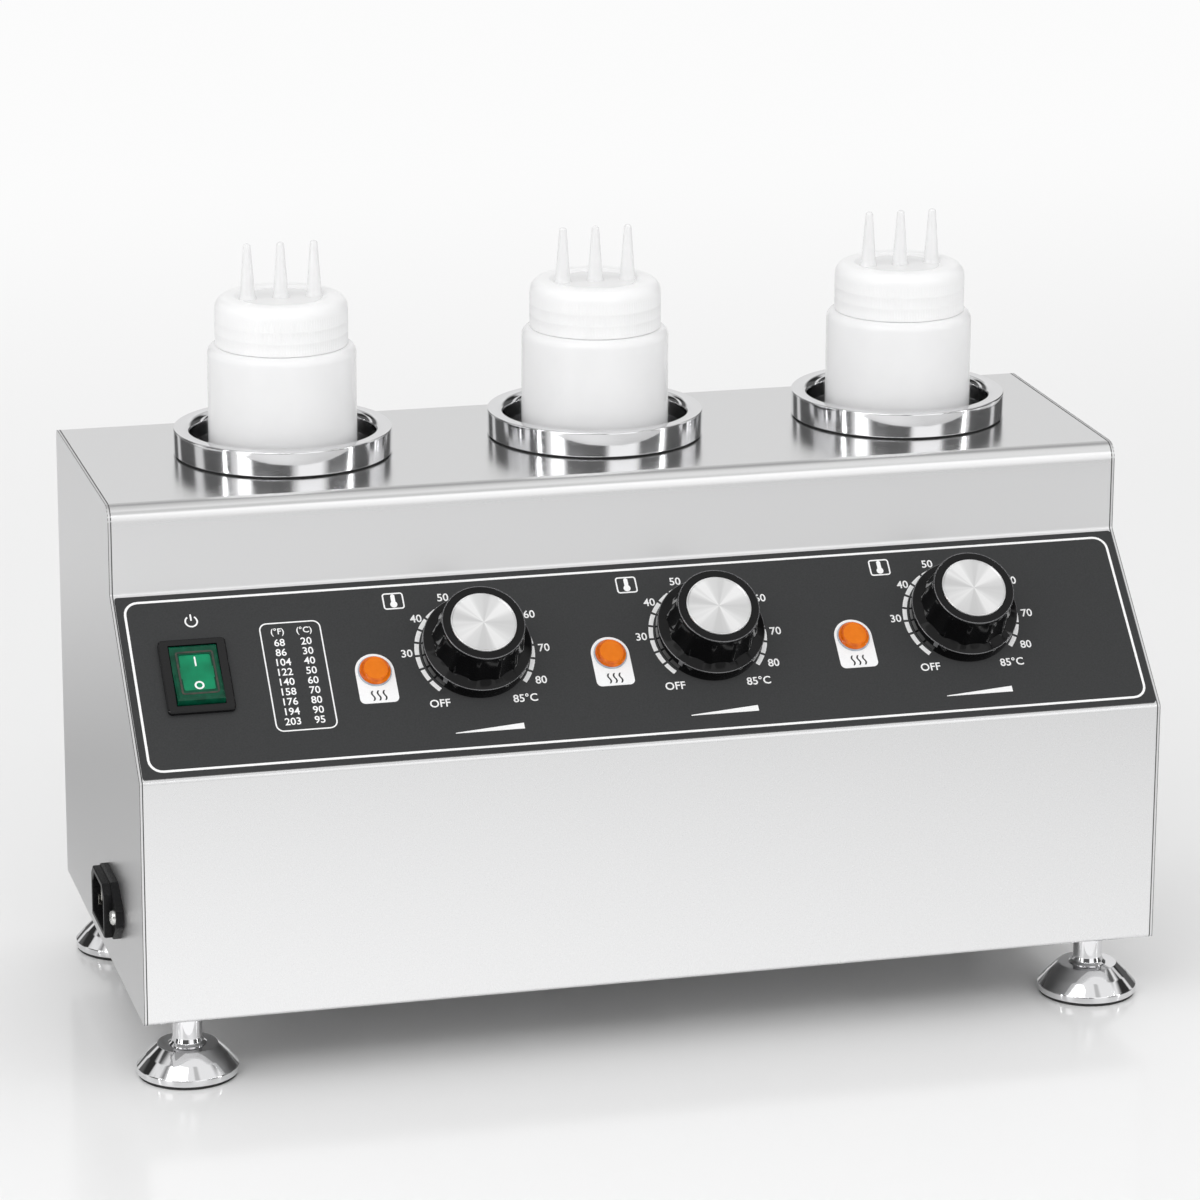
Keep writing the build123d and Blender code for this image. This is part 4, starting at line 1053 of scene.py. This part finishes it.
def build_bottles():
    """Open bottles of even wall, with a hollow base and a rounded shoulder."""
    ring_radius = punt_radius + punt_slope
    outer = [
        (0, bottle_base + bottle_punt), (punt_radius, bottle_base + bottle_punt),
        (ring_radius, bottle_base), (bottle_radius, bottle_base),
        (bottle_radius, shoulder_height), (neck_radius, shoulder_height), (neck_radius, neck_top),
    ]
    neck_inside, inside = neck_radius - bottle_wall, bottle_radius - bottle_wall
    floor = bottle_base + bottle_wall
    inner = [
        (neck_inside, neck_top), (neck_inside, shoulder_inside), (inside, shoulder_inside),
        (inside, floor), (ring_radius, floor),
        (punt_radius, floor + bottle_punt), (0, floor + bottle_punt),
    ]
    bends = [0, 1, 1, 4.0, 3.5, 0.8, 0.4, 0.4, 0.8, 2.5, 3.0, 1, 1, 0]
    shell = lathe(rounded(outer + inner, bends, 8), 128)
    for number, (x, y) in enumerate(well_places, start=1):
        place = upright_at(x, y, deck_z)
        body = f"bottle_{number}_body"
        replaced = [f"bottle_{number}"]
        name = f"bottle_shell_{number}"
        piece(name, shell, bottle_white, body, place, 40, replaced)


def ribbed(radius, height, angle):
    """Fine upright ribs in the bands round the cap."""
    margin = 0.01
    in_band = any(low - margin < height < high + margin for low, high in rib_bands)
    if not in_band or radius < cap_bore_radius + 1:
        return radius
    return radius + rib_depth * (0.5 + 0.5 * math.cos(rib_count * angle)) - rib_sink


def cap_shell():
    outline = [(cap_bore_radius, 0), (cap_radius, 0)]
    for low, high in rib_bands:
        outline.append((cap_radius, low - 0.1))
        outline.append((rib_band_radius, low + 0.1))
        outline.append((rib_band_radius, high - 0.1))
        outline.append((cap_radius, high + 0.1))
    outline[-1] = (rib_band_radius, outline[-1][1])
    bends = [0, 0.3] + [0] * (len(outline) - 2)
    outline += [
        (cap_shoulder_radius, cap_height),
        (cap_dish_radius, cap_height),
        (cap_floor_radius, cap_dish_height),
        (0, cap_dish_height),
        (0, cap_ceiling),
        (cap_bore_radius, cap_ceiling),
    ]
    return lathe(rounded(outline, bends + [4.4, 1.4, 0.6, 0, 0, 0], 7), 4 * rib_count, ribbed)


def cap_nozzles():
    """Three tapered nozzles on a thin plate in the cap's dish."""
    plate_radius, plate_base = cap_floor_radius - 0.5, cap_dish_height - 0.1
    plate_top = cap_dish_height + 0.1
    plate = [(0, plate_base), (plate_radius, plate_base), (plate_radius, plate_top), (0, plate_top)]
    foot = [(0, 16.6), (nozzle_foot_radius, 16.6), (nozzle_foot_radius - 0.1, 17.7)]
    taper = [(nozzle_base_radius, 19.0), (nozzle_tip_radius, nozzle_top), (0, nozzle_top)]
    outline = rounded(foot + taper, [0, 0, 0.3, 1.5, 1.1, 0])
    nozzles = [lathe(outline, 40, offset=nozzle_pitch * step) for step in (-1, 0, 1)]
    return joined(lathe(plate), *nozzles)


def build_caps():
    shell, nozzles = cap_shell(), cap_nozzles()
    for number, (x, y) in enumerate(well_places, start=1):
        place = upright_at(x, y, deck_z + cap_base)
        body = f"nozzle_cap_{number}_body"
        replaced = [f"nozzle_cap_{number}"]
        name = f"cap_shell_{number}"
        piece(name, shell, cap_white, body, place, 35, replaced)
        # The nozzles take the greyer polythene that paints their shade.
        name = f"cap_nozzles_{number}"
        piece(name, nozzles, nozzle_shaded_white, body, place, 35)


build_collars()
build_bottles()
build_caps()


# Knobs and lamps

def fluted(radius, height, angle):
    """Hollow flutes round the knob's grip."""
    if not grip_foot - 0.05 < height < grip_foot + grip_rise + 0.05 or radius < 14:
        return radius
    pitch = 2 * math.pi / flute_count
    away = (angle + pitch / 2) % pitch - pitch / 2
    return radius - flute_depth * max(0.0, 1 - (away / (0.4 * pitch)) ** 2)


def knob_grip():
    """Skirt and leaning grip with a pocket for the disc, hollow below round its hub."""
    skirt = [(skirt_bore_radius, skirt_base), (skirt_radius, skirt_base), (skirt_radius, skirt_top)]
    outline = rounded([*skirt, (grip_foot_radius, 7.8)], [0.3, 0.4, 0.45, 0.3], 5, False)
    for share in (0, 0.1, 0.35, 0.65, 0.9, 1):
        outline.append((grip_foot_radius - grip_lean * share, grip_foot + grip_rise * share))
    top = [(15.55, 19.5), (knob_top_radius, knob_top), (disc_pocket_radius, knob_top)]
    pocket = [(disc_pocket_radius, disc_seat), (0, disc_seat)]
    outline += rounded(top + pocket, [0, 0.5, 0.25, 0, 0], 5, False)
    outline += [(0, hub_base), (hub_radius, hub_base)]
    outline += [(hub_radius, skirt_inside), (skirt_bore_radius, skirt_inside)]
    return lathe(outline, 240, fluted)


def build_knobs():
    grip_shell = knob_grip()
    # Thin rings on the skirt's and the top rim's edges, coloured as a painted highlight.
    rings = [circle(reach, rise, 0.24, 12) for reach, rise in ((20.2, 6.8), (15.28, 21.18))]
    highlight_ring_shell = joined(*[lathe(ring, 128) for ring in rings])
    pointer = slab(box_outline(19.8, 0, 1.5, 1.8, 0.2, 3), 4.6, skirt_top + 0.06)
    mark = moved(pointer, Matrix.Rotation(math.radians(225), 4, "Z"))
    lip = [(disc_radius, 0), (disc_radius, 1.2), (11.75, 1.2), (11.6, 1.0)]
    disc = rounded([(0, 0), *lip, (0, 1.0)], [0, 0, 0.2, 0.1, 0.1, 0], 4)
    disc_shell = lathe(disc, 128)
    for number, x in enumerate(knob_places, start=1):
        body = f"knob_{number}_turning"
        place = panel_at(x, knob_rise)
        name, replaced = f"knob_grip_{number}", [f"knob_{number}"]
        grip = piece(name, grip_shell, knob_black, body, place, 28, replaced)
        name = f"knob_edge_highlights_{number}"
        edges = piece(name, highlight_ring_shell, painted_edge_highlight, body, place, 40)
        piece(f"knob_mark_{number}", mark, mark_grey, body, place)
        seat = panel_at(x, knob_rise, disc_seat)
        name, replaced = f"disc_face_{number}", [f"knob_disc_{number}"]
        face = piece(name, disc_shell, spun, body, seat, 40, replaced)
        for made in (grip, edges, face):
            made.visible_glossy = False


def build_lamps():
    """Lenses with a bevelled rim in a darker amber of painted shade, round a slightly domed face,
    each in a thin surround whose grey-blue is a painted shadow.
    """
    corners = [
        (0, -lens_stem_length), (lens_stem_radius, -lens_stem_length), (lens_stem_radius, 0.1),
        (lens_radius, 0.1), (lens_radius, 1.2), (5.3, 1.5),
        (4.75, lens_height), (4.4, lens_height), (4.3, 2.3), (0, 2.3),
    ]
    rim = lathe(rounded(corners, [0, 0, 0, 0, 0.3, 0.3, 0.2, 0.1, 0.1, 0], 4))
    face = lathe([(0, 2.2), (4.32, 2.2), (4.32, 2.42), (0, lens_height)])
    edge = [(surround_radius, 0.02), (surround_radius, 0.45), (5.8, 0.7)]
    surround = lathe(rounded([(4.3, 0.02), *edge, (4.3, 0.7)], [0, 0, 0.15, 0.15, 0], 3))
    for number, x in enumerate(lamp_places, start=1):
        place = panel_at(x, lamp_rise, overlay_top)
        name, replaced = f"lens_rim_{number}", [f"lamp_lens_{number}"]
        piece(name, rim, amber_rim_shaded, "body", place, 25, replaced)
        piece(f"lens_face_{number}", face, amber, "body", place, 25)
        piece(f"lens_bezel_and_shadow_{number}", surround, lens_bezel_shadow_grey, "body", place, 25)


def build_rocker_face():
    """Green window in the rocker, with its edge and its two marks."""
    tilt = Matrix.Rotation(math.radians(rocker_tilt), 4, "X")
    place = panel_at(switch_place, switch_rise) @ tilt
    foot = window_floor - 0.1
    pane = slab(box_outline(0, window_shift, *window_size, 0.75), foot, window_floor + 0.2)
    piece("rocker_window", pane, pane_green, "rocker", place)
    edge = box_frame(0, window_shift, *window_edge_size, 1.2, 0.75, foot, window_floor + 0.72)
    piece("rocker_window_edge", edge, edge_brown, "rocker", place)
    layer = (window_floor + 0.15, window_floor + 0.27)
    bar = slab(box_outline(0, 4.9, 0.6, 4.2, 0.29), *layer)
    ring = frame_slab(circle(0, -5.7, 1.8, 40), circle(0, -5.7, 1.1, 40), *layer)
    piece("rocker_marks", joined(bar, ring), ink_white, "rocker", place)


build_knobs()
build_lamps()
build_rocker_face()


# Mains inlet

def socket_outline(length, height, corner):
    """Outline of the mains socket, its two upper corners cut off."""
    w, h = length / 2, height / 2
    corners = [(-w, -h), (w, -h), (w, h - corner), (w - corner, h), (corner - w, h)]
    return rounded(corners + [(-w, h - corner)], [0.8, 0.8, 0.5, 0.5, 0.5, 0.5], 4)


def inlet_flange():
    """Six-sided plate with rounded ears, a fine bevel and an opening for the shroud."""
    half = [(14.7, -10.6), (23.2, -3.2), (23.2, 3.2), (14.9, 8.4), (11.4, 10.7)]
    corners = half + [(-x, y) for x, y in reversed(half)]
    bends = [0.8, 1.5, 1.5, 1.0, 0.6]
    rim = rounded(corners, bends + bends[::-1], 5)
    bevelled = [point * 0.982 for point in rim]
    plate = loft((rim, 0.02), (rim, 2.6), (bevelled, inlet_flange_thickness))
    return cut(plate, slab(socket_outline(25.6, 17.8, 4.2), -1.0, inlet_flange_thickness + 1))


def build_inlet():
    """Inlet seen from outside: socket with a rounded mouth, and a flange with two screw ears."""
    inner = socket_outline(socket_length, socket_height, 4.6)
    outer = socket_outline(shroud_length, shroud_height, 3.55)
    shroud = loft(
        (outer, 1.0),
        (outer, inlet_face - 0.4),
        (socket_outline(shroud_length - 0.6, shroud_height - 0.6, 3.6), inlet_face),
        (socket_outline(socket_length + 0.5, socket_height + 0.5, 4.5), inlet_face),
        (inner, inlet_face - 0.3),
        (inner, 1.0),
        tube=True,
    )
    back = socket_outline(26.8, 19.6, 0.6)
    tube = frame_slab(back, inner, -14.0, 1.5)
    floor = slab(back, -14.2, -10.5)
    shell = joined(shroud, tube, floor, inlet_flange())
    replaced = ["inlet_housing"]
    piece("inlet_face", shell, black_plastic, "body", inlet_at(), 30, replaced)


build_inlet()


# Feet

def build_feet():
    """Rubber pad, hollow chrome cone, and a stem that flares where it meets the cone."""
    stem_top = base_z - sheet - stem_gap
    stud_top = base_z + stud_reach
    pad = [
        (0, 0), (pad_radius, 0), (pad_radius, pad_height),
        (pad_plug_radius, pad_height), (pad_plug_radius, pad_plug_top), (0, pad_plug_top),
    ]
    cone = [
        (stud_radius, cone_top), (stud_radius, cone_ceiling), (10.3, cone_ceiling), (16.9, 3.8),
        (pad_plug_radius, pad_plug_top), (pad_plug_radius, pad_height),
        (cone_radius, pad_height), (cone_radius, cone_rim_top),
        (15.3, 7.95), (cone_top_radius, cone_top),
    ]
    stud = [
        (0, cone_ceiling), (stud_radius, cone_ceiling), (stud_radius, cone_top),
        (7.1, cone_top), (7.1, 12.2), (6.0, 13.1), (stem_radius, 14.8),
        (stem_radius, stem_top), (stud_radius, stem_top), (stud_radius, stud_top), (0, stud_top),
    ]
    pad_shell = lathe(rounded(pad, [0, 0.4, 0.1, 0, 0, 0], 4))
    cone_shell = lathe(rounded(cone, [0, 0, 0, 0, 0, 0, 0.4, 0.7, 8.0, 0.4], 5), 128)
    stud_shell = lathe(rounded(stud, [0, 0, 0, 0.1, 0.15, 1.0, 1.2, 0.2, 0, 0.8, 0], 5))
    for number, (x, y) in enumerate(foot_places, start=1):
        for name, shell, finish, sharp, node, slot in (
            ("pad_sole", pad_shell, rubber, 35, "foot_pad", "black_rubber"),
            ("cone_shell", cone_shell, chrome, 30, "foot_cone", "chrome"),
            ("stem", stud_shell, chrome, 35, "foot_stud", "chrome"),
        ):
            body, place, replaced = f"foot_{number}", upright_at(x, y), [f"{node}_{number}"]
            piece(f"{name}_{number}", shell, finish, body, place, sharp, replaced)


build_feet()
